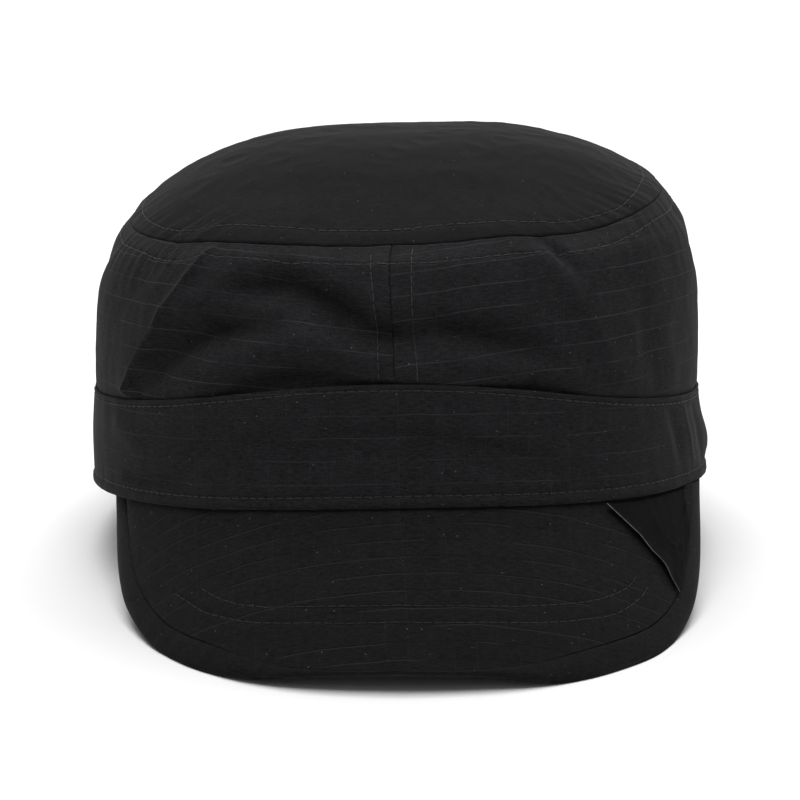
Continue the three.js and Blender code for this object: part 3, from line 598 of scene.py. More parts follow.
def visor_root(share):
    deg = visor_curve["rimDeg"](share)
    p, n = wall_base(deg, np.zeros_like(deg)), wall_normal(deg, np.zeros_like(deg))
    p[..., 2] = np.maximum(0, p[..., 2]) - VISOR_UNDER
    p = p - n * VISOR_TUCK
    rel = p - ROOT
    along = along_of(p[..., 0])
    return along, rel @ OUTWARD, rel @ UPWARD + arch_at(along)[1]


def visor_flat(share, t):
    share, t = np.broadcast_arrays(np.asarray(share, float), np.asarray(t, float))
    a, o, rise = visor_root(share)
    side, out = visor_curve["seamSide"](share), visor_curve["seamOut"](share)
    return a + t * (side - a), o + t * (out - o), rise * (1 - t) ** 2


def line_distance(line, x, y):
    best = np.full(np.broadcast(x, y).shape, 1e9)
    for (ax, ay), (bx, by) in zip(line, line[1:]):
        ex, ey = bx - ax, by - ay
        t = np.clip(((x - ax) * ex + (y - ay) * ey) / (ex * ex + ey * ey), 0, 1)
        best = np.minimum(best, np.hypot(x - ax - t * ex, y - ay - t * ey))
    return best


_vp1, _vp2 = waves(41, 9, 30.0, 0.5), waves(42, 9, 12.0, 0.5)


def visor_detail(share, t, under=False):
    al, out, _ = visor_flat(share, t)
    da, db = line_distance(VISOR_ROW_A, al, out), line_distance(VISOR_ROW_B, al, out)
    z = row_dip(da, 0.20, 0.7) + row_dip(db, 0.20, 0.7)
    z = z + 0.12 * _vp1(al, out) + 0.04 * _vp2(al, out)
    length = np.hypot(visor_curve["seamSide"](share) - visor_root(share)[0], visor_curve["seamOut"](share) - visor_root(share)[1])
    d = (1 - t) * length
    z = z - roll(d, 0.5) * (0.02 + 1.08 * smooth((np.abs(share) - 0.36) / 0.16))
    return z


def hem_place(share, inward, above):
    """A place by the lower edge of the band, where a ruling starts."""
    deg = visor_curve["rimDeg"](share)
    p, n = wall_base(deg, np.zeros_like(deg)), wall_normal(deg, np.zeros_like(deg))
    p[..., 2] = np.maximum(0, p[..., 2]) + above
    return p - n * inward


def root_shift(share):
    """From where the arch would start to where the cloth meets the band."""
    al, out, lift = visor_flat(share, np.zeros_like(share))
    return hem_place(share, 1.35, -0.25) - arch_point(al, out, lift)


def visor_point(share, t, rise=0.0, detail=1.0):
    share, t = np.broadcast_arrays(np.asarray(share, float), np.asarray(t, float))
    al, out, lift = visor_flat(share, t)
    z = visor_detail(share, t) * detail if detail else 0.0
    return arch_point(al, out, rise + lift + z) + root_shift(share) * (np.clip(1 - t, 0, 1) ** 3)[..., None]


# ------------------------------------------------------------------ meshes
class Cloth:
    """A closed mesh made of rows of points. Each point has its place on the flat
    cloth in mm, and its place on a bake map."""

    def __init__(self):
        self.points, self.count, self.quads, self.tris = [], 0, [], []
        self.quad_flat, self.tri_flat, self.quad_map, self.tri_map = [], [], [], []

    def row(self, pts, flat, place, closed=False):
        pts = np.asarray(pts, float).reshape(-1, 3)
        idx = np.arange(self.count, self.count + len(pts))
        self.points.append(pts)
        self.count += len(pts)
        if closed:
            idx = np.append(idx, idx[0])
        return [idx, np.asarray(flat, float), np.asarray(place, float)]

    def join(self, a, b):
        (ia, fa, pa), (ib, fb, pb) = a, b
        if len(ia) == len(ib):
            self.quads.append(np.stack([ia[:-1], ia[1:], ib[1:], ib[:-1]], 1))
            self.quad_flat.append(np.stack([fa[:-1], fa[1:], fb[1:], fb[:-1]], 1))
            self.quad_map.append(np.stack([pa[:-1], pa[1:], pb[1:], pb[:-1]], 1))
            return
        i = j = 0
        na, nb = len(ia), len(ib)
        while i < na - 1 or j < nb - 1:
            if j == nb - 1 or (i < na - 1 and (i + 1) / (na - 1) <= (j + 1) / (nb - 1)):
                t = ((ia, fa, pa, i), (ia, fa, pa, i + 1), (ib, fb, pb, j))
                i += 1
            else:
                t = ((ia, fa, pa, i), (ib, fb, pb, j + 1), (ib, fb, pb, j))
                j += 1
            if len({int(k[0][k[3]]) for k in t}) < 3:
                continue
            self.tris.append([[k[0][k[3]] for k in t]])
            self.tri_flat.append([[k[1][k[3]] for k in t]])
            self.tri_map.append([[k[2][k[3]] for k in t]])

    def build(self, name, material, slot=None, node=None):
        v = (np.concatenate(self.points) + SHIFT) * MM
        quads = np.concatenate(self.quads) if self.quads else np.zeros((0, 4), int)
        tris = np.concatenate(self.tris) if self.tris else np.zeros((0, 3), int)
        qf = np.concatenate(self.quad_flat).reshape(-1, 2) if self.quads else np.zeros((0, 2))
        tf = np.concatenate(self.tri_flat).reshape(-1, 2) if self.tris else np.zeros((0, 2))
        qm = np.concatenate(self.quad_map).reshape(-1, 2) if self.quads else np.zeros((0, 2))
        tm = np.concatenate(self.tri_map).reshape(-1, 2) if self.tris else np.zeros((0, 2))
        vol = 0.0
        for a, b, c in ((0, 1, 2), (0, 2, 3)):
            if len(quads):
                vol += np.einsum("ij,ij->", v[quads[:, a]], np.cross(v[quads[:, b]], v[quads[:, c]]))
        if len(tris):
            vol += np.einsum("ij,ij->", v[tris[:, 0]], np.cross(v[tris[:, 1]], v[tris[:, 2]]))
        if vol < 0:
            quads, tris = quads[:, ::-1], tris[:, ::-1]
            qf, qm = qf.reshape(-1, 4, 2)[:, ::-1].reshape(-1, 2), qm.reshape(-1, 4, 2)[:, ::-1].reshape(-1, 2)
            tf, tm = tf.reshape(-1, 3, 2)[:, ::-1].reshape(-1, 2), tm.reshape(-1, 3, 2)[:, ::-1].reshape(-1, 2)
        me = bpy.data.meshes.new(name)
        me.vertices.add(len(v))
        me.vertices.foreach_set("co", v.astype(np.float32).ravel())
        loops = np.concatenate([quads.ravel(), tris.ravel()]).astype(np.int32)
        me.loops.add(len(loops))
        me.loops.foreach_set("vertex_index", loops)
        n = len(quads) + len(tris)
        me.polygons.add(n)
        me.polygons.foreach_set("loop_start", np.concatenate([4 * np.arange(len(quads)), 4 * len(quads) + 3 * np.arange(len(tris))]).astype(np.int32))
        me.polygons.foreach_set("use_smooth", np.ones(n, bool))
        for label, data in (("flat", np.concatenate([qf, tf])), ("OFBake", np.concatenate([qm, tm]))):
            layer = me.uv_layers.new(name=label)
            layer.data.foreach_set("uv", data.astype(np.float32).ravel())
        me.update(calc_edges=True)
        me.validate()
        me.materials.append(material)
        ob = bpy.data.objects.new(name, me)
        bpy.context.scene.collection.objects.link(ob)
        if node:
            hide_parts(node)
        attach(ob, "root")
        return ob


def profile_sheet(cloth, outer, inner, closed):
    """outer and inner: functions returning rows (points, flat) from the low edge
    to the high edge of a wall. Makes one closed body of them."""
    rows = [*outer, *inner[::-1]]
    run = np.concatenate([[0], np.cumsum([np.linalg.norm(a[0][len(a[0]) // 2] - b[0][len(b[0]) // 2]) for a, b in zip(rows, rows[1:])])])
    close_gap = np.linalg.norm(rows[-1][0][len(rows[-1][0]) // 2] - rows[0][0][len(rows[0][0]) // 2])
    total = run[-1] + close_gap + 1.0
    made = []
    for (pts, flat), t in zip(rows, run):
        n = len(flat)
        place = np.stack([0.005 + 0.97 * np.arange(n) / (n - 1), np.full(n, 0.005 + 0.985 * t / total)], 1)
        made.append(cloth.row(pts, flat, place, closed))
    for a, b in zip(made, made[1:]):
        cloth.join(a, b)
    last = [made[0][0], made[0][1], np.stack([made[0][2][:, 0], np.full(len(made[0][2]), 0.005 + 0.985 * (run[-1] + close_gap) / total)], 1)]
    cloth.join(made[-1], last)
    if not closed:
        n = len(outer)
        for e, at in ((0, 0.980), (-1, 0.990)):
            lo = [np.array([made[k][0][e] for k in range(n)]), np.array([made[k][1][e] for k in range(n)]),
                  np.array([[at, made[k][2][e][1]] for k in range(n)])]
            hi_k = list(range(len(made) - 1, n - 1, -1))
            hi = [np.array([made[k][0][e] for k in hi_k]), np.array([made[k][1][e] for k in hi_k]),
                  np.array([[at + 0.006, made[n - 1 - int(round((n - 1) * (1 - j / max(1, len(hi_k) - 1))))][2][e][1]] for j, k in enumerate(hi_k)])]
            if e == 0:
                cloth.join(hi, lo)
            else:
                cloth.join(lo, hi)
    return made


def spaced(lo, hi, step):
    n = max(2, int(round((hi - lo) / step)) + 1)
    return np.linspace(lo, hi, n)


FINE = 1.0


# ------------------------------------------------------------------ materials
class Tree:
    def __init__(self, name):
        self.mat = bpy.data.materials.new(name)
        self.mat.use_nodes = True
        self.t = self.mat.node_tree
        self.t.nodes.clear()

    def node(self, kind, **props):
        n = self.t.nodes.new(kind)
        for k, v in props.items():
            setattr(n, k, v)
        return n

    def put(self, socket, value):
        if isinstance(value, bpy.types.NodeSocket):
            self.t.links.new(value, socket)
        elif value is not None:
            socket.default_value = value

    def math(self, op, a, b=None, c=None, clamp=False):
        n = self.node("ShaderNodeMath", operation=op, use_clamp=clamp)
        for s, v in zip(n.inputs, (a, b, c)):
            self.put(s, v)
        return n.outputs[0]

    def add(self, a, b):
        return self.math("ADD", a, b)

    def mul(self, a, b):
        return self.math("MULTIPLY", a, b)

    def step(self, value, lo, hi, a=0.0, b=1.0):
        n = self.node("ShaderNodeMapRange", interpolation_type="SMOOTHSTEP", clamp=True)
        for s, v in zip(n.inputs, (value, lo, hi, a, b)):
            self.put(s, v)
        return n.outputs[0]

    def xyz(self, x, y, z=0.0):
        n = self.node("ShaderNodeCombineXYZ")
        for s, v in zip(n.inputs, (x, y, z)):
            self.put(s, v)
        return n.outputs[0]

    def split(self, v):
        n = self.node("ShaderNodeSeparateXYZ")
        self.put(n.inputs[0], v)
        return n.outputs

    def noise(self, vec, scale, detail=2.0, rough=0.5):
        n = self.node("ShaderNodeTexNoise", noise_dimensions="2D")
        self.put(n.inputs["Vector"], vec)
        self.put(n.inputs["Scale"], scale)
        self.put(n.inputs["Detail"], detail)
        self.put(n.inputs["Roughness"], rough)
        return n.outputs[0]

    def cells(self, vec, scale):
        n = self.node("ShaderNodeTexVoronoi", voronoi_dimensions="2D")
        self.put(n.inputs["Vector"], vec)
        self.put(n.inputs["Scale"], scale)
        return n.outputs["Distance"], n.outputs["Color"]

    def mix(self, fac, a, b):
        n = self.node("ShaderNodeMix", data_type="RGBA")
        self.put(n.inputs["Factor"], fac)
        self.put(n.inputs["A"], a)
        self.put(n.inputs["B"], b)
        return n.outputs["Result"]

    def flat(self):
        return self.node("ShaderNodeUVMap", uv_map="flat").outputs[0]


def grey(v, blue=1.0):
    return (v, v, v * blue, 1.0)


def ripstop(name, base, line, across=6.0, up=6.4, across_gain=0.45, up_gain=1.0, turn=0.0, speck=1.0, blue=1.10, dark_lines=False, sheen=0.04, rim=0.045, light_fade=None):
    """Fine plain weave with a grid of thicker threads, slubs, lint and a soft sheen; painted sheen where the cloth
    turns away from the view, and painted light and shade across one part.
    """
    t = Tree(name)
    flat = t.flat()
    if turn:
        m = t.node("ShaderNodeMapping")
        t.put(m.inputs["Vector"], flat)
        m.inputs["Rotation"].default_value = (0, 0, math.radians(turn))
        flat = m.outputs[0]
    x, y, _ = t.split(flat)
    wob = t.noise(t.xyz(t.mul(x, 0.035), t.mul(y, 0.05)), 1.0, 2.0)
    wob2 = t.noise(t.xyz(t.add(t.mul(x, 0.05), 40.0), t.mul(y, 0.035)), 1.0, 2.0)
    u = t.add(x, t.mul(t.math("SUBTRACT", wob, 0.5), 1.1))
    v = t.add(y, t.mul(t.math("SUBTRACT", wob2, 0.5), 1.1))
    du = t.math("PINGPONG", u, across / 2)
    dv = t.math("PINGPONG", v, up / 2)
    lu = t.step(du, 0.05, 0.21, 1.0, 0.0)
    lv = t.step(dv, 0.05, 0.21, 1.0, 0.0)
    # the thick threads show in stretches and fade between them
    fu = t.step(t.noise(t.xyz(t.mul(x, 0.16), t.mul(y, 0.09)), 1.0, 3.0), 0.40, 0.62, 0.15, 1.0)
    fv = t.step(t.noise(t.xyz(t.add(t.mul(x, 0.05), 9.0), t.mul(y, 0.3)), 1.0, 3.0), 0.38, 0.60, 0.25, 1.0)
    gu, gv = t.mul(t.mul(lu, fu), across_gain), t.mul(t.mul(lv, fv), up_gain)
    lines = t.math("MAXIMUM", gu, gv)
    # plain weave and slubs
    weave = t.mul(t.math("SINE", t.mul(u, 13.0)), t.math("SINE", t.mul(v, 13.0)))
    slub = t.noise(t.xyz(t.mul(u, 0.42), t.mul(v, 2.5)), 1.0, 3.0, 0.65)
    slub2 = t.noise(t.xyz(t.mul(u, 3.2), t.mul(v, 0.7)), 1.0, 2.0, 0.6)
    grain = t.noise(t.xyz(u, v), 2.2, 3.0, 0.7)
    mottled = t.noise(t.xyz(t.mul(u, 0.10), t.mul(v, 0.14)), 1.0, 3.0, 0.6)
    shade = t.add(t.add(t.mul(t.math("SUBTRACT", slub, 0.5), 2.1), t.mul(t.math("SUBTRACT", slub2, 0.5), 0.9)),
                  t.add(t.mul(t.math("SUBTRACT", grain, 0.5), 1.7), t.mul(t.math("SUBTRACT", mottled, 0.5), 0.5)))
    shade = t.math("MINIMUM", t.math("MAXIMUM", t.add(1.0, shade), 0.2), 2.4)
    if light_fade:   # painted light and shade: paler or darker across one part, against how the light falls there: (centre or None, from, to, gain, gain)
        place = t.math("SQRT", t.add(t.math("POWER", t.math("SUBTRACT", x, light_fade[0][0]), 2.0), t.math("POWER", t.math("SUBTRACT", y, light_fade[0][1]), 2.0))) if light_fade[0] else y
        shade = t.mul(shade, t.step(place, *light_fade[1:]))
    dark, lit = grey(base * 0.0, blue), grey(base * 2.4, blue)
    colour = t.mix(t.mul(shade, 1 / 2.4), dark, lit)
    colour = t.mix(t.mul(lines, 0.0 if dark_lines else 1.0), colour, grey(line, blue))
    if dark_lines:
        side = t.step(t.math("PINGPONG", t.add(v, 0.42), up / 2), 0.06, 0.26, 1.0, 0.0)
        colour = t.mix(t.mul(t.mul(side, fv), 0.6), colour, grey(base * 0.25, blue))
        colour = t.mix(t.mul(t.mul(lv, t.step(t.noise(t.xyz(t.mul(x, 0.03), t.mul(y, 0.2)), 1.0, 2.0), 0.42, 0.52)), 0.9), colour, grey(line, blue))
        colour = t.mix(gu, colour, grey(line, blue))
    # lint: rare pale specks, and rarer short fibres
    dist, rnd = t.cells(t.xyz(x, y), 0.26)
    r, g, b = t.split(rnd)
    spot = t.mul(t.step(dist, 0.022, 0.052, 1.0, 0.0), t.step(r, 0.925, 0.93))
    dist2, rnd2 = t.cells(t.xyz(t.mul(x, 0.35), t.mul(y, 1.9)), 0.5)
    r2, g2, b2 = t.split(rnd2)
    fibre = t.mul(t.step(dist2, 0.03, 0.09, 1.0, 0.0), t.step(r2, 0.965, 0.97))
    dist3, rnd3 = t.cells(t.xyz(x, y), 0.75)
    r3, g3, b3 = t.split(rnd3)
    dust = t.mul(t.step(dist3, 0.04, 0.10, 1.0, 0.0), t.step(r3, 0.95, 0.96))
    lint = t.math("MINIMUM", t.add(t.add(t.mul(spot, 0.9), t.mul(fibre, 0.35)), t.mul(dust, 0.22)), 1.0)
    colour = t.mix(t.mul(lint, speck), colour, (0.13, 0.13, 0.135, 1.0))
    # painted sheen: paler where the cloth turns away from the view
    sheen_facing = t.node("ShaderNodeLayerWeight")
    sheen_facing.inputs["Blend"].default_value = 0.5
    colour = t.mix(t.math("POWER", sheen_facing.outputs["Facing"], 7.0), colour, (rim, rim, rim * 1.02, 1.0))
    # relief
    height = t.add(t.add(t.mul(weave, 0.25), t.mul(lines, 1.1)), t.add(t.mul(slub, 0.8), t.add(t.mul(slub2, 0.5), t.mul(grain, 0.9))))
    bump = t.node("ShaderNodeBump")
    bump.inputs["Strength"].default_value = 0.8
    bump.inputs["Distance"].default_value = 0.00009
    t.put(bump.inputs["Height"], height)
    rough = t.step(grain, 0.2, 0.8, 0.82, 0.97)
    b = t.node("ShaderNodeBsdfPrincipled")
    t.put(b.inputs["Base Color"], colour)
    t.put(b.inputs["Roughness"], rough)
    t.put(b.inputs["Normal"], bump.outputs[0])
    b.inputs["Specular IOR Level"].default_value = 0.10
    b.inputs["Sheen Weight"].default_value = sheen
    b.inputs["Sheen Roughness"].default_value = 0.28
    b.inputs["Sheen Tint"].default_value = (0.20, 0.20, 0.21, 1.0)
    out = t.node("ShaderNodeOutputMaterial")
    t.put(out.inputs[0], b.outputs[0])
    return t.mat


def thread(name, base, sheen=0.3):
    t = Tree(name)
    flat = t.flat()
    x, y, _ = t.split(flat)
    ply = t.math("SINE", t.add(t.mul(x, 14.0), t.mul(y, 5.0)))
    fuzz = t.noise(t.xyz(x, t.mul(y, 2.0)), 3.0, 2.0)
    shade = t.add(t.mul(ply, 0.25), t.mul(t.math("SUBTRACT", fuzz, 0.5), 1.2))
    colour = t.mix(t.math("ADD", t.mul(shade, 0.5), 0.5, clamp=True), grey(base * 0.35), grey(base * 1.5))
    # painted shade of the needle holes: dark where it goes down through the cloth
    end = t.math("ABSOLUTE", t.math("SUBTRACT", y, 0.5))
    colour = t.mix(t.step(end, 0.38, 0.45), colour, grey(0.0012))
    bump = t.node("ShaderNodeBump")
    bump.inputs["Strength"].default_value = 0.7
    bump.inputs["Distance"].default_value = 0.00006
    t.put(bump.inputs["Height"], t.add(ply, fuzz))
    b = t.node("ShaderNodeBsdfPrincipled")
    t.put(b.inputs["Base Color"], colour)
    t.put(b.inputs["Roughness"], t.step(fuzz, 0.2, 0.8, 0.5, 0.75))
    t.put(b.inputs["Normal"], bump.outputs[0])
    b.inputs["Specular IOR Level"].default_value = 0.4
    b.inputs["Sheen Weight"].default_value = sheen
    b.inputs["Sheen Roughness"].default_value = 0.4
    b.inputs["Sheen Tint"].default_value = (0.3, 0.3, 0.3, 1.0)
    out = t.node("ShaderNodeOutputMaterial")
    t.put(out.inputs[0], b.outputs[0])
    return t.mat


def satin(name, base, edge):
    """Woven patch: smooth ribbon with fine ribs, with a painted highlight along its free edge. The
    flat map holds mm from the free edge and mm along it."""
    t = Tree(name)
    x, y, _ = t.split(t.flat())
    rib = t.math("SINE", t.mul(y, 19.0))
    rib2 = t.math("SINE", t.mul(x, 12.0))
    grain = t.noise(t.xyz(x, y), 2.2, 3.0, 0.65)
    wear = t.noise(t.xyz(t.mul(x, 0.2), t.mul(y, 0.25)), 1.0, 3.0)
    shade = t.add(t.add(0.5, t.mul(rib, 0.10)), t.add(t.mul(t.math("SUBTRACT", grain, 0.5), 0.7), t.mul(t.math("SUBTRACT", wear, 0.5), 0.5)))
    colour = t.mix(t.math("MULTIPLY", shade, 1.0, clamp=True), grey(base * 0.5), grey(base * 1.5))
    # painted highlight: paler along the free edge, where it catches the light
    edge_highlight = t.mul(t.step(x, 0.10, 0.42, 1.0, 0.0), t.step(t.noise(t.xyz(t.mul(x, 0.1), t.mul(y, 0.6)), 1.0, 3.0), 0.25, 0.5, 0.35, 1.0))
    colour = t.mix(edge_highlight, colour, grey(edge))
    dist, rnd = t.cells(t.xyz(x, y), 0.4)
    r, g, b3 = t.split(rnd)
    spot = t.mul(t.step(dist, 0.03, 0.07, 1.0, 0.0), t.step(r, 0.86, 0.87))
    colour = t.mix(t.mul(spot, 0.5), colour, (0.16, 0.16, 0.165, 1.0))
    bump = t.node("ShaderNodeBump")
    bump.inputs["Strength"].default_value = 0.6
    bump.inputs["Distance"].default_value = 0.00004
    t.put(bump.inputs["Height"], t.add(t.add(t.mul(rib, 0.5), t.mul(rib2, 0.3)), t.mul(grain, 1.2)))
    b = t.node("ShaderNodeBsdfPrincipled")
    t.put(b.inputs["Base Color"], colour)
    t.put(b.inputs["Roughness"], t.step(grain, 0.2, 0.8, 0.60, 0.75))
    t.put(b.inputs["Normal"], bump.outputs[0])
    b.inputs["Specular IOR Level"].default_value = 0.06
    b.inputs["Sheen Weight"].default_value = 0.0
    b.inputs["Sheen Roughness"].default_value = 0.4
    b.inputs["Sheen Tint"].default_value = (0.3, 0.3, 0.3, 1.0)
    out = t.node("ShaderNodeOutputMaterial")
    t.put(out.inputs[0], b.outputs[0])
    return t.mat


# The top panel and the visor are the wall's cloth with darker base colours: painted shade against the stronger light on
# them. Their fade paints light near the top panel's rim and shade toward the visor's outer edge.
TOP_CLOTH = ripstop("top_cloth", 0.0039, 0.013, up_gain=0.4, across_gain=0.15, sheen=0.03, rim=0.034, light_fade=(DOME_CENTRE, 54.0, 82.0, 1.0, 2.1))
WALL_CLOTH = ripstop("wall_cloth", 0.0120, 0.031, across_gain=0.22, rim=0.026)
BAND_CLOTH = ripstop("band_cloth", 0.0120, 0.027, up=6.4, up_gain=0.8, across_gain=0.32, rim=0.036)
VISOR_CLOTH = ripstop("visor_cloth", 0.0078, 0.020, up=5.4, up_gain=0.5, across_gain=0.26, turn=3.0, dark_lines=True, sheen=0.04, rim=0.03, light_fade=(None, 8.0, 46.0, 1.12, 0.86))
# middle of the edge strip, as its flat map counts it
_half = visor_flat(np.linspace(-1.045, 0.0, 400), 1.0)
STRIP_MID = float(np.hypot(np.diff(_half[0]), np.diff(_half[1])).sum())
# The strip is darker across the middle of its front: painted shade.
STRIP_CLOTH = ripstop("strip_cloth", 0.0096, 0.013, up_gain=0.3, across_gain=0.2, sheen=0.08, light_fade=((STRIP_MID, 3.0), 45.0, 120.0, 0.70, 1.04))
THREAD = thread("black_thread", 0.0170, 0.06)
VISOR_THREAD = thread("visor_thread", 0.0125, 0.03)
PATCH = satin("patch_satin", 0.0020, 0.10)


# ------------------------------------------------------------------ crown panels
LEAN = math.tan(math.radians(8.5))


def wall_flat(deg, level, side):
    u = arc_of(deg)
    h = height_of(deg, level)
    a = np.abs(u)
    return np.stack([u, h - LEAN * 95 * (1 - np.exp(-a / 95.0)) + (3.1 if side < 0 else 0.0)], -1)


def panel(name, sg, node):
    cloth = Cloth()
    front = np.concatenate([[0.07, 0.14, 0.24, 0.38, 0.54, 0.75], spaced(1.1, 48.0, 0.72 * FINE), spaced(48.6, 96.0, 0.5 * FINE), spaced(96.7, 125.0, 0.72 * FINE)])
    rear_end = abs(_arc[0]) if sg < 0 else _arc[-1]
    rear = np.concatenate([spaced(126.2, rear_end - 9.0, 1.5 * FINE), spaced(rear_end - 8.4, rear_end - 1.0, 0.7 * FINE), rear_end - np.array([0.75, 0.54, 0.38, 0.24, 0.13, 0.05])])
    arcs = np.concatenate([front, rear]) * sg
    deg = deg_of(arcs)
    hid = np.array([0.0, 0.08, 0.18, 0.28, 0.35, 0.385])
    low = np.concatenate([hid, [0.392, 0.398, 0.403, 0.408, 0.413, 0.418, 0.424, 0.430]])
    body = spaced(0.438, 0.875, 0.0088 * FINE)
    high = np.concatenate([spaced(0.880, 0.985, 0.0052 * FINE), [0.9885, 0.991, 0.993, 0.9945, 0.996, 0.9972, 0.9985, 0.9996]])
    levels = np.concatenate([low, body, high])
    outer = [(crown_point(deg, np.full_like(deg, l)), wall_flat(deg, np.full_like(deg, l), sg)) for l in levels]
    ins = np.concatenate([[0.0, 0.15, 0.30, 0.395, 0.43, 0.48], spaced(0.53, 0.90, 0.03), spaced(0.91, 0.985, 0.012), [0.9996]])
    inner = []
    # both seams are cut at a slant
    cut = arcs - 0.8 * np.exp(-np.abs(arcs) / 1.5) - 0.8 * np.exp((np.abs(arcs) - rear_end) / 1.5)
    own, deg = deg, deg_of(cut) + 0.61 * np.minimum(0, cut - _arc[0])
    for l in ins:
        lv = np.full_like(deg, l)
        d = below_seam(deg, lv)
        fr, _, rr, _ = twin_distance(deg, lv)
        tuck = allowance(d, 6.5, 0.5) + allowance(fr, 6.2, 0.5) + allowance(rr, 6.2, 0.5)
        inner.append((crown_point(deg, lv, CROWN_WALL + tuck * smooth((l - 0.4) / 0.05)), wall_flat(own, lv, sg)))
    profile_sheet(cloth, outer, inner, False)
    return cloth.build(name, WALL_CLOTH, "wall_cloth", node)


left_panel = panel("crown_side_left", -1, "side_panel_left")
right_panel = panel("crown_side_right", 1, "side_panel_right")


# ------------------------------------------------------------------ band
def band():
    cloth = Cloth()
    near = spaced(0, 128.0, 0.80 * FINE)
    front = np.concatenate([-near[:0:-1], near])
    rr = spaced(129.2, _arc[-1] - 0.6, 1.5 * FINE)
    rl = spaced(129.2, -_arc[0] - 0.6, 1.5 * FINE)
    arcs = np.concatenate([front, rr, -rl[::-1]])
    deg = deg_of(arcs)
    ring = np.append(deg, deg[0])

    def flat(h):
        u = np.append(np.where(np.arange(len(arcs)) < len(front) + len(rr), arcs, arcs + (_arc[-1] - _arc[0])), arcs[0] + (_arc[-1] - _arc[0]))
        return np.stack([u, np.append(h, h[0])], 1)

    full = height_of(deg, BAND_TOP)
    outer = []
    # heights up the band in mm, from its lower edge, as shares of its full height near the middle
    for k in np.concatenate([[0.0, 0.12, 0.28, 0.5, 0.75], spaced(1.05, 4.6, 0.42 * FINE)]):
        lv = BAND_TOP * k / full
        outer.append((band_point(deg, lv, 0.0, 0.45 * (1 - smooth(k / 1.6))), flat(height_of(deg, lv))))
    for s in spaced(0.0, 1.0, 0.028 * FINE)[1:-1]:
        k = 4.6 + s * (full - 4.6 - 3.4)
        lv = BAND_TOP * k / full
        outer.append((band_point(deg, lv), flat(height_of(deg, lv))))
    for k in np.concatenate([np.linspace(3.4, 0.75, 9), [0.5, 0.34, 0.2, 0.08, 0.0]]):
        lv = BAND_TOP * (full - k) / full
        outer.append((band_point(deg, lv), flat(height_of(deg, lv))))
    inner = []
    for k in [0.0, 0.25, 0.6, 1.2, 2.0, 2.8, 3.6, 4.4]:
        lv = BAND_TOP * k / full
        depth = BAND_WALL - 0.45 * np.exp(-((k - 1.2) / 1.2) ** 2) * -1 + band_outer(deg, lv) - 0.25 * (k == 2.8) - 0.5 * (k == 0)
        inner.append((band_point(deg, lv, depth, 0.45 * (1 - smooth(k / 1.6))), flat(height_of(deg, lv))))
    for s in np.concatenate([np.linspace(0, 0.85, 10)[1:], [0.88, 0.905, 0.93, 0.955, 0.98, 1.0]]):
        k = 4.4 + s * (full - 4.4 - 0.0)
        lv = BAND_TOP * k / full
        inner.append((band_point(deg, lv, BAND_WALL - 0.15 + band_outer(deg, lv) - 0.68 * smooth((s - 0.87) / 0.13)), flat(height_of(deg, lv))))
    profile_sheet(cloth, outer, inner, True)
    return cloth.build("hat_band", BAND_CLOTH, "band_cloth", "band")


band_ob = band()


# ------------------------------------------------------------------ top panel
def top():
    cloth = Cloth()

    def ring(count, r, depth, half):
        deg = deg_of(np.linspace(_arc[0], _arc[-1], count + 1)[:-1])
        rr = np.full_like(deg, r)
        extra = 0.0
        if depth:
            extra = depth + allowance(inside_seam(deg, rr), 6.5, 0.5)
        p = top_point(deg, rr, extra)
        # threads of the top run from side to side
        base = dome_point(deg, rr)
        run = inside_seam(deg, rr)
        flat = base[:, :2] + unit(base[:, :2] - np.array(DOME_CENTRE)) * np.maximum(0, (14 - run) * 0.45 * (run < 14))[:, None]
        place = np.stack([0.25 + (base[:, 0]) / 172.0 * 0.49 + 0.5 * half, 0.5 + (base[:, 1]) / 186.0 * 0.97], 1)
        return cloth.row(p, np.append(flat, flat[:1], 0), np.append(place, place[:1], 0), True)

    n = int(760 / FINE)
    rings = [0.9996, 0.9985, 0.9972, 0.996, 0.9945, 0.993, 0.991, 0.9885, *np.arange(0.985, 0.90, -0.0050 * FINE), *np.arange(0.895, 0.60, -0.0105 * FINE)]
    rows = [ring(n, r, 0.0, 0) for r in rings]
    rows += [ring(n // 2, r, 0.0, 0) for r in np.arange(0.59, 0.30, -0.013 * FINE)]
    rows += [ring(n // 4, r, 0.0, 0) for r in np.arange(0.285, 0.11, -0.018 * FINE)]
    rows += [ring(n // 8, r, 0.0, 0) for r in np.arange(0.10, 0.02, -0.02)]
    for a, b in zip(rows, rows[1:]):
        cloth.join(a, b)
    centre = cloth.row(top_point(np.array([0.0]), np.array([0.0])), [DOME_CENTRE], [[0.25, 0.5]])
    centre = [np.repeat(centre[0], 2), np.repeat(centre[1], 2, 0), np.repeat(centre[2], 2, 0)]
    cloth.join(rows[-1], centre)
    inn = [ring(n, r, TOP_WALL, 1) for r in (0.9990, 0.99, 0.975, 0.96, 0.945, 0.93, 0.91)]
    inn += [ring(n // 2, r, TOP_WALL, 1) for r in np.arange(0.88, 0.40, -0.045)]
    inn += [ring(n // 8, r, TOP_WALL, 1) for r in np.arange(0.36, 0.04, -0.06)]
    lip = [rows[0][0], rows[0][1], inn[0][2]]
    cloth.join(inn[0], lip)
    for a, b in zip(inn, inn[1:]):
        cloth.join(b, a)
    centre2 = cloth.row(top_point(np.array([0.0]), np.array([0.0]), TOP_WALL), [DOME_CENTRE], [[0.75, 0.5]])
    centre2 = [np.repeat(centre2[0], 2), np.repeat(centre2[1], 2, 0), np.repeat(centre2[2], 2, 0)]
    cloth.join(centre2, inn[-1])
    return cloth.build("crown_top_panel", TOP_CLOTH, "top_cloth", "crown_top")


top_ob = top()


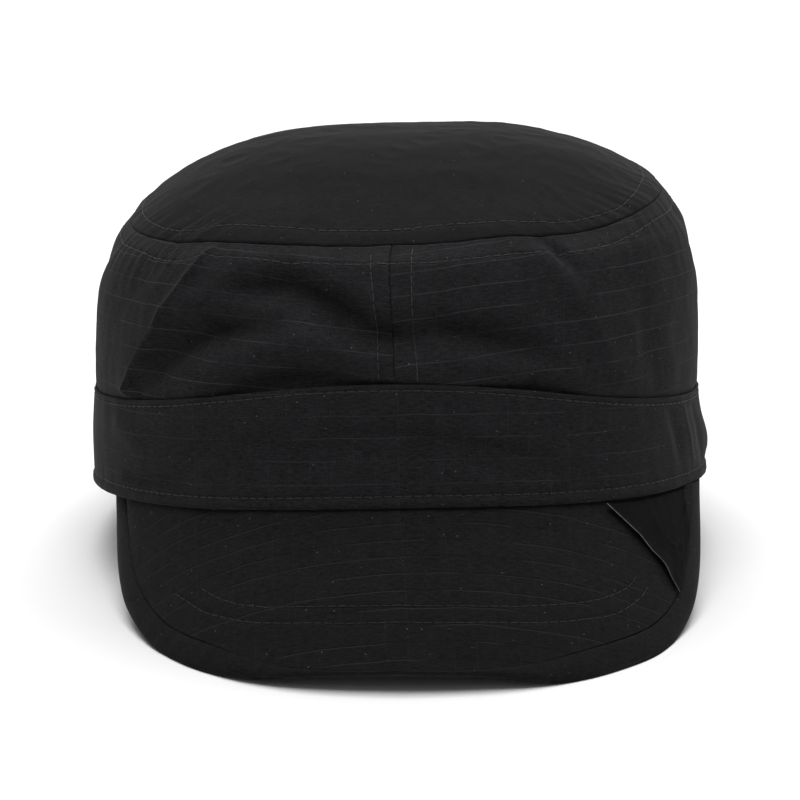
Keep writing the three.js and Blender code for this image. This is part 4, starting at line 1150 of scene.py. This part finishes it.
# ------------------------------------------------------------------ visor
def visor():
    cloth = Cloth()
    shares = spaced(-1.03, 1.03, 0.0062 * FINE)
    ts = np.concatenate([[0.0, 0.02], spaced(0.04, 0.965, 0.0125 * FINE), [0.974, 0.981, 0.986, 0.990, 0.9935, 0.9965, 0.999, 1.0]])

    def flat(t, under):
        al, out, _ = visor_flat(shares, np.full_like(shares, t))
        return np.stack([al, out + (60 if under else 0)], -1)

    # the root turns up behind the band's lower edge
    outer = [(hem_place(shares, 1.75, h), flat(0.0, False) + [0, h - 2.0]) for h in (1.5, 0.9, 0.3)]
    outer += [(visor_point(shares, np.full_like(shares, t)), flat(t, False)) for t in ts]
    inner = [(hem_place(shares, 2.9, h), flat(0.0, True)) for h in (1.5, 0.6)]
    for t in np.concatenate([[0.0, 0.03], spaced(0.06, 0.95, 0.03), [0.97, 0.985, 1.0]]):
        tt = np.full_like(shares, t)
        al, out, lift = visor_flat(shares, tt)
        dip = row_dip(line_distance(VISOR_ROW_A, al, out), 0.2, 0.9) + row_dip(line_distance(VISOR_ROW_B, al, out), 0.2, 0.9)
        low = arch_point(al, out, -VISOR_WALL + 0.15 + lift - dip) + root_shift(shares) * (1 - t) ** 3
        low[..., 2] = np.maximum(low[..., 2], 0.0)
        inner.append((low, flat(t, True)))
    profile_sheet(cloth, outer, inner, False)
    return cloth.build("visor_shell", VISOR_CLOTH, "visor_cloth", "visor")


visor_ob = visor()

# Section of the edge strip: out across its width, face (0 over the visor, 1
# under it) and rise from that face.
STRIP = [
    (0.0, 0, -1.1), (0.0, 0, -0.55), (0.02, 0, -0.22), (0.06, 0, 0.0), (0.13, 0, 0.18), (0.24, 0, 0.32), (0.38, 0, 0.42), (0.52, 0, 0.45), (0.66, 0, 0.38),
    (0.78, 0, 0.20), (0.88, 0, -0.08), (0.95, 0, -0.45), (0.99, 0, -0.85), (1.0, 0, -1.3), (0.99, 1, 0.85), (0.95, 1, 0.45),
    (0.88, 1, 0.08), (0.78, 1, -0.20), (0.62, 1, -0.38), (0.45, 1, -0.42), (0.28, 1, -0.36), (0.12, 1, -0.2), (0.03, 1, 0.05), (0.0, 1, 0.5),
]
_rim_deg = np.linspace(-100, 100, 1001)
_rim = wall_base(_rim_deg, _rim_deg * 0)
_st1, _st2 = waves(51, 7, 7.0, 0.4, (0.0, 0.02)), waves(52, 7, 22.0, 0.4, (0.0, 0.02))


def strip_at(share, f, face, rise):
    s0, o0 = visor_curve["seamSide"](share), visor_curve["seamOut"](share)
    s1, o1 = visor_curve["edgeSide"](share), visor_curve["edgeOut"](share)
    w = np.hypot(s1 - s0, o1 - o0)
    gap = 0.12 - 0.10 * (1 - smooth((np.abs(share) - 0.36) / 0.16))
    g = (gap + f * (w - gap)) / w
    thin = smooth((w - 0.6) / 3.2)
    puff = rise * (0.55 + 0.45 * thin) if rise > 0 else rise
    # in front the strip lies flatter and its seam is nearly flush
    front = 1 - smooth((np.abs(share) - 0.30) / 0.20)
    if face == 0 and f < 0.05 and rise > -0.6:
        puff = puff * (1 - 0.9 * front)
    if face == 1:
        puff = puff + 0.9 * front
    along = s0 * 1.1
    bump = 0.10 * _st1(along, 0 * along) * math.sin(math.pi * min(1.0, f)) * thin + 0.10 * _st2(along, 0 * along) * thin * (f > 0.02)
    p = arch_point(s0 + g * (s1 - s0), o0 + g * (o1 - o0), (-VISOR_WALL if face else 0.0) + puff + (bump if not face else -bump))
    # under the band the strip stops at its lower edge
    near = _rim_deg[np.argmin(np.hypot(p[:, None, 0] - _rim[None, :, 0], p[:, None, 1] - _rim[None, :, 1]), axis=1)]
    top = wall_base(near, near * 0)[..., 2] - 0.62
    tail = smooth((np.abs(share) - 0.90) / 0.06)
    p[..., 2] = np.where(p[..., 2] > top, p[..., 2] * (1 - tail) + top * tail, p[..., 2])
    p[..., 2] = np.maximum(0, p[..., 2])
    return p, w


def strip():
    cloth = Cloth()
    shares = spaced(-1.045, 1.045, 0.0052 * FINE)
    pts0 = None
    al, out, _ = visor_flat(shares, np.ones_like(shares))
    u = np.concatenate([[0], np.cumsum(np.hypot(np.diff(al), np.diff(out)))])
    made = []
    for k, (f, face, rise) in enumerate(STRIP):
        p, w = strip_at(shares, f, face, rise)
        if pts0 is not None:
            run = run + np.linalg.norm(p - pts0, axis=1)
        else:
            run = np.zeros(len(shares))
        pts0 = p
        place = np.stack([0.005 + 0.97 * np.arange(len(shares)) / (len(shares) - 1), np.full(len(shares), 0.005 + 0.94 * k / len(STRIP))], 1)
        made.append(cloth.row(p, np.stack([u, run], 1), place))
    for a, b in zip(made, made[1:]):
        cloth.join(a, b)
    last = [made[0][0], np.stack([u, run + 1.5], 1), np.stack([made[0][2][:, 0], np.full(len(shares), 0.965)], 1)]
    cloth.join(made[-1], last)
    for e in (0, -1):
        n = len(made)
        h = n // 2
        lo = [np.array([m[0][e] for m in made[:h]]), np.array([m[1][e] for m in made[:h]]), np.array([[0.98 if e else 0.99, m[2][e][1]] for m in made[:h]])]
        hi = [np.array([m[0][e] for m in made[:h - 1:-1]]), np.array([m[1][e] for m in made[:h - 1:-1]]), np.array([[0.985 if e else 0.995, m[2][e][1]] for m in made[:h]])]
        cloth.join(lo, hi) if e == 0 else cloth.join(hi, lo)
    return cloth.build("visor_edge_strip", STRIP_CLOTH, "edge_strip", "visor_binding")


strip_ob = strip()

# ------------------------------------------------------------------ corner patch
label_edge = table(LABEL_EDGE, 1)


def label_surface(k, t, rise):
    """k across from the free edge to the end of the visor, t out from the band."""
    k, t = np.broadcast_arrays(np.asarray(k, float), np.asarray(t, float))
    s0 = label_edge(t)
    share = s0 + k * (LABEL_END - s0)
    root, tip = visor_point(share, 0 * share, 0.0, 0), visor_point(share, 0 * share + 1, 0.0, 0)
    clear = np.minimum(0.5, LABEL_CLEAR / np.linalg.norm(root - tip, axis=-1))
    tt = np.maximum(t, clear)
    return visor_point(share, tt, rise, 0), share, tt


def label():
    cloth = Cloth()
    ks = np.concatenate([[0, 0.004, 0.009, 0.015, 0.022, 0.03, 0.04, 0.052], spaced(0.068, 0.97, 0.020), [0.98, 0.988, 0.995, 1.0]])
    ts = np.concatenate([[0.05, 0.30], spaced(0.45, 0.955, 0.0085), [0.963, 0.969, 0.974, 0.978]])
    K, T = np.meshgrid(ks, ts, indexing="ij")
    base, share, tt = label_surface(K, T, 0.0)
    # distance from the free edge and along it
    width = np.linalg.norm(base[-1] - base[0], axis=-1)
    dist = K * width[None, :]
    run = np.concatenate([[0], np.cumsum(np.linalg.norm(np.diff(base[0], axis=0), axis=1))])
    al = np.broadcast_to(run[None, :], K.shape)
    lift = 0.75 * np.exp(-dist / 1.6) + 0.10 * waves(61, 7, 12.0)(dist, al) + 0.06 * waves(62, 5, 5.0)(dist, al)
    for x0, y0, x1, y1 in ((6.0, 9.0, 9.5, 13.5), (13.0, 7.0, 18.5, 8.0), (18.5, 8.0, 20.5, 11.5), (9.0, 17.0, 11.5, 22.0)):
        lift = lift + 0.32 * np.exp(-(line_distance([(x0, y0), (x1, y1)], dist, al) / 0.9) ** 2)
    ripple = 0.30 * np.exp(-dist / 5.0) * waves(63, 5, 14.0, 0.4, (1.55, 1.57))(dist * 0, al)
    end = roll(np.minimum(dist + 0.02, (1 - K) * width[None, :] + 0.02), 0.22)
    side = roll((0.978 - T) * 45.0 + 0.02, 0.25)
    up = 0.95 + lift + ripple - end - side
    up = np.maximum(up, 0.55)
    thick = 0.42 - 0.30 * (end / 0.22).clip(0, 1)
    up_pts, _, _ = label_surface(K, T, up)
    lo_pts, _, _ = label_surface(K, T, np.maximum(up - thick, 0.30))
    outer = [(up_pts[:, j], np.stack([dist[:, j], al[:, j]], 1)) for j in range(len(ts))]
    inner = [(lo_pts[:, j], np.stack([dist[:, j] + 3, al[:, j]], 1)) for j in range(0, len(ts))]
    profile_sheet(cloth, outer, inner, False)
    return cloth.build("corner_patch", PATCH, "patch", "corner_label")


label_ob = label()


# ------------------------------------------------------------------ stitches
class Stitches:
    def __init__(self):
        self.v, self.f, self.uv, self.n = [], [], [], 0

    def line(self, pts, nrm, seed, radius=STITCH_R, pitch=STITCH, length=STITCH_LEN, sink=0.30, proud=0.10):
        """pts, nrm: a fine run of points on the cloth and the cloth's normals, in mm."""
        rng = np.random.default_rng(seed)
        run = np.concatenate([[0], np.cumsum(np.linalg.norm(np.diff(pts, axis=0), axis=1))])
        at = lambda s: np.array([np.interp(s, run, pts[:, k]) for k in range(3)])
        up = lambda s: np.array([np.interp(s, run, nrm[:, k]) for k in range(3)])
        s = 0.4
        while s + length < run[-1]:
            L = length * rng.uniform(0.93, 1.05)
            lift = proud * rng.uniform(0.8, 1.25)
            skew = rng.normal(0, 0.05)
            ring_s = (0.0, 0.07, 0.18, 0.5, 0.82, 0.93, 1.0)
            heights = (-sink, 0.0, lift * 0.8, lift, lift * 0.8, 0.0, -sink)
            radii = (0.35, 0.85, 1.0, 1.0, 1.0, 0.85, 0.35)
            base = self.n
            for q, hgt, rad in zip(ring_s, heights, radii):
                c, n = at(s + q * L), up(s + q * L)
                n = n / np.linalg.norm(n)
                d = at(min(run[-1], s + q * L + 0.2)) - at(max(0, s + q * L - 0.2))
                d /= np.linalg.norm(d)
                b = np.cross(d, n)
                b /= np.linalg.norm(b)
                c = c + n * hgt + b * skew * (q - 0.5) * 2
                for a in range(6):
                    th = 2 * math.pi * a / 6
                    self.v.append(c + radius * rad * (math.cos(th) * b + math.sin(th) * n * 0.85))
                    self.uv.append((s + q * L + a * 0.08, q))
            for i in range(6):
                for a in range(6):
                    p, r = base + 6 * i + a, base + 6 * i + (a + 1) % 6
                    self.f.append((p, r, r + 6, p + 6))
            self.f.append(tuple(base + a for a in range(5, -1, -1)))
            self.f.append(tuple(base + 36 + a for a in range(6)))
            self.n += 42
            s += pitch * rng.uniform(0.97, 1.03)

    def build(self, name, slot, material):
        me = bpy.data.meshes.new(name)
        v = (np.array(self.v) + SHIFT) * MM
        v[:, 2] = np.maximum(v[:, 2], 0.0)
        me.from_pydata([tuple(p) for p in v], [], self.f)
        layer = me.uv_layers.new(name="flat")
        idx = np.zeros(len(me.loops), np.int32)
        me.loops.foreach_get("vertex_index", idx)
        layer.data.foreach_set("uv", np.array(self.uv, np.float32)[idx].ravel())
        me.polygons.foreach_set("use_smooth", np.ones(len(me.polygons), bool))
        me.update()
        me.materials.append(material)
        ob = bpy.data.objects.new(name, me)
        bpy.context.scene.collection.objects.link(ob)
        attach(ob, "root")
        return ob


def on_wall(deg, level):
    p = crown_point(deg, level)
    a = crown_point(deg + 0.2, level) - crown_point(deg - 0.2, level)
    b = crown_point(deg, level + 0.004) - crown_point(deg, level - 0.004)
    return p, unit(np.cross(a, b))


def on_band(deg, level):
    p = band_point(deg, level)
    a = band_point(deg + 0.2, level) - band_point(deg - 0.2, level)
    b = band_point(deg, level + 0.004) - band_point(deg, level - 0.004)
    return p, unit(np.cross(a, b))


def on_top(deg, r):
    p = top_point(deg, r)
    a = top_point(deg + 0.2, r) - top_point(deg - 0.2, r)
    b = top_point(deg, r + 0.003) - top_point(deg, r - 0.003)
    return p, -unit(np.cross(a, b))


def on_visor(line):
    xy = np.array(line, float)
    seg = np.concatenate([[0], np.cumsum(np.hypot(*np.diff(xy, axis=0).T))])
    s = np.arange(0, seg[-1], 0.5)
    cx, cy = curve(seg, xy[:, 0]), curve(seg, xy[:, 1])
    al, out = cx(s), cy(s)
    lift = 0.12 * _vp1(al, out) + 0.04 * _vp2(al, out) - 0.18
    p = arch_point(al, out, lift + 0.02)
    n = unit(arch_point(al, out, 1.0) - arch_point(al, out, 0.0))
    return p, n


top_rows = Stitches()
arcs = np.arange(_arc[0], _arc[-1], 0.8)
dg = deg_of(arcs)
p, n = on_top(dg, r_at(dg, upper_row(dg)))
top_rows.line(p, n, 71)
top_rows.build("stitches_top", "top_cloth", THREAD)

wall_rows = Stitches()
p, n = on_wall(dg, level_at(dg, lower_row(dg)))
wall_rows.line(p, n, 72)
lv = np.linspace(0.405, 0.985, 140)
for k, (sg, rear) in enumerate(((-1, False), (1, False), (-1, True), (1, True))):
    share = np.clip((lv - 0.4) / 0.6, 0, 1)
    scale = 1 - 0.10 * smooth((lv - 0.62) / 0.38)
    if rear:
        d = deg_of(sg * (abs(_arc[0] if sg < 0 else _arc[-1]) - 5.0 / scale))
    else:
        d = deg_of(sg * FRONT_TWIN[sg](share) / scale)
    p, n = on_wall(d, lv)
    wall_rows.line(p, n, 73 + k)
wall_rows.build("stitches_wall", "wall_cloth", THREAD)

band_rows = Stitches()
full = height_of(dg, BAND_TOP)
p, n = on_band(dg, BAND_TOP * (full - 1.7) / full)
band_rows.line(p, n, 81)
p, n = on_band(dg, BAND_TOP * 2.8 / full)
band_rows.line(p, n, 82, pitch=2.75, length=2.5)
band_rows.build("stitches_band", "band_cloth", THREAD)

visor_rows_ob = Stitches()
for k, line in enumerate((VISOR_ROW_A, VISOR_ROW_B)):
    p, n = on_visor(line)
    visor_rows_ob.line(p, n, 91 + k, radius=0.14, proud=0.02)
visor_rows_ob.build("stitches_visor", "visor_cloth", VISOR_THREAD)

# ------------------------------------------------------------------ stage
def floor_material():
    m = bpy.data.materials.new("pale_floor")
    m.use_nodes = True
    b = m.node_tree.nodes["Principled BSDF"]
    b.inputs["Base Color"].default_value = (0.86, 0.86, 0.86, 1)
    b.inputs["Roughness"].default_value = 0.9
    b.inputs["Specular IOR Level"].default_value = 0.1
    return m


me = bpy.data.meshes.new("floor")
me.from_pydata([(-6, -6, -0.0002), (6, -6, -0.0002), (6, 6, -0.0002), (-6, 6, -0.0002)], [], [(0, 1, 2, 3)])
me.materials.append(floor_material())
floor = bpy.data.objects.new("floor", me)
bpy.context.scene.collection.objects.link(floor)

scene = bpy.context.scene
world = bpy.data.worlds.new("studio")
world.use_nodes = True
world.node_tree.nodes["Background"].inputs[0].default_value = (1, 1, 1, 1)
world.node_tree.nodes["Background"].inputs[1].default_value = 0.30
scene.world = world


def area(name, place, target, size, power, size_y=None):
    li = bpy.data.lights.new(name, "AREA")
    li.energy = power
    li.shape = "RECTANGLE"
    li.size, li.size_y = size, size_y or size
    ob = bpy.data.objects.new(name, li)
    ob.location = place
    d = Vector(target) - Vector(place)
    ob.rotation_euler = d.to_track_quat("-Z", "Y").to_euler()
    scene.collection.objects.link(ob)
    return ob


area("top_box", (0.05, 0.65, 1.4), (0.0, 0.05, 0.0), 1.9, 26.0, 1.4)
area("front_box", (-0.08, -0.48, 1.40), (0.0, -0.02, 0.05), 0.8, 11.0)
area("right_box", (1.25, 0.35, 0.55), (0.0, 0.0, 0.06), 0.9, 1.0)

cam_data = bpy.data.cameras.new("camera")
cam_data.sensor_width = 36.0
cam_data.sensor_fit = "HORIZONTAL"
cam_data.lens = 165.0
cam_data.clip_start, cam_data.clip_end = 0.01, 50.0
cam = bpy.data.objects.new("camera", cam_data)
target = Vector((-0.000297, 0.020439, 0.0425))
el = math.radians(15.0)
cam.location = target + Vector((0, -math.cos(el), math.sin(el))) * 1.1
cam.rotation_euler = (target - cam.location).to_track_quat("-Z", "Y").to_euler()
scene.collection.objects.link(cam)
scene.camera = cam
scene.view_settings.view_transform = "Standard"
scene.view_settings.look = "None"
scene.view_settings.exposure = 0.0
scene.view_settings.gamma = 1.0
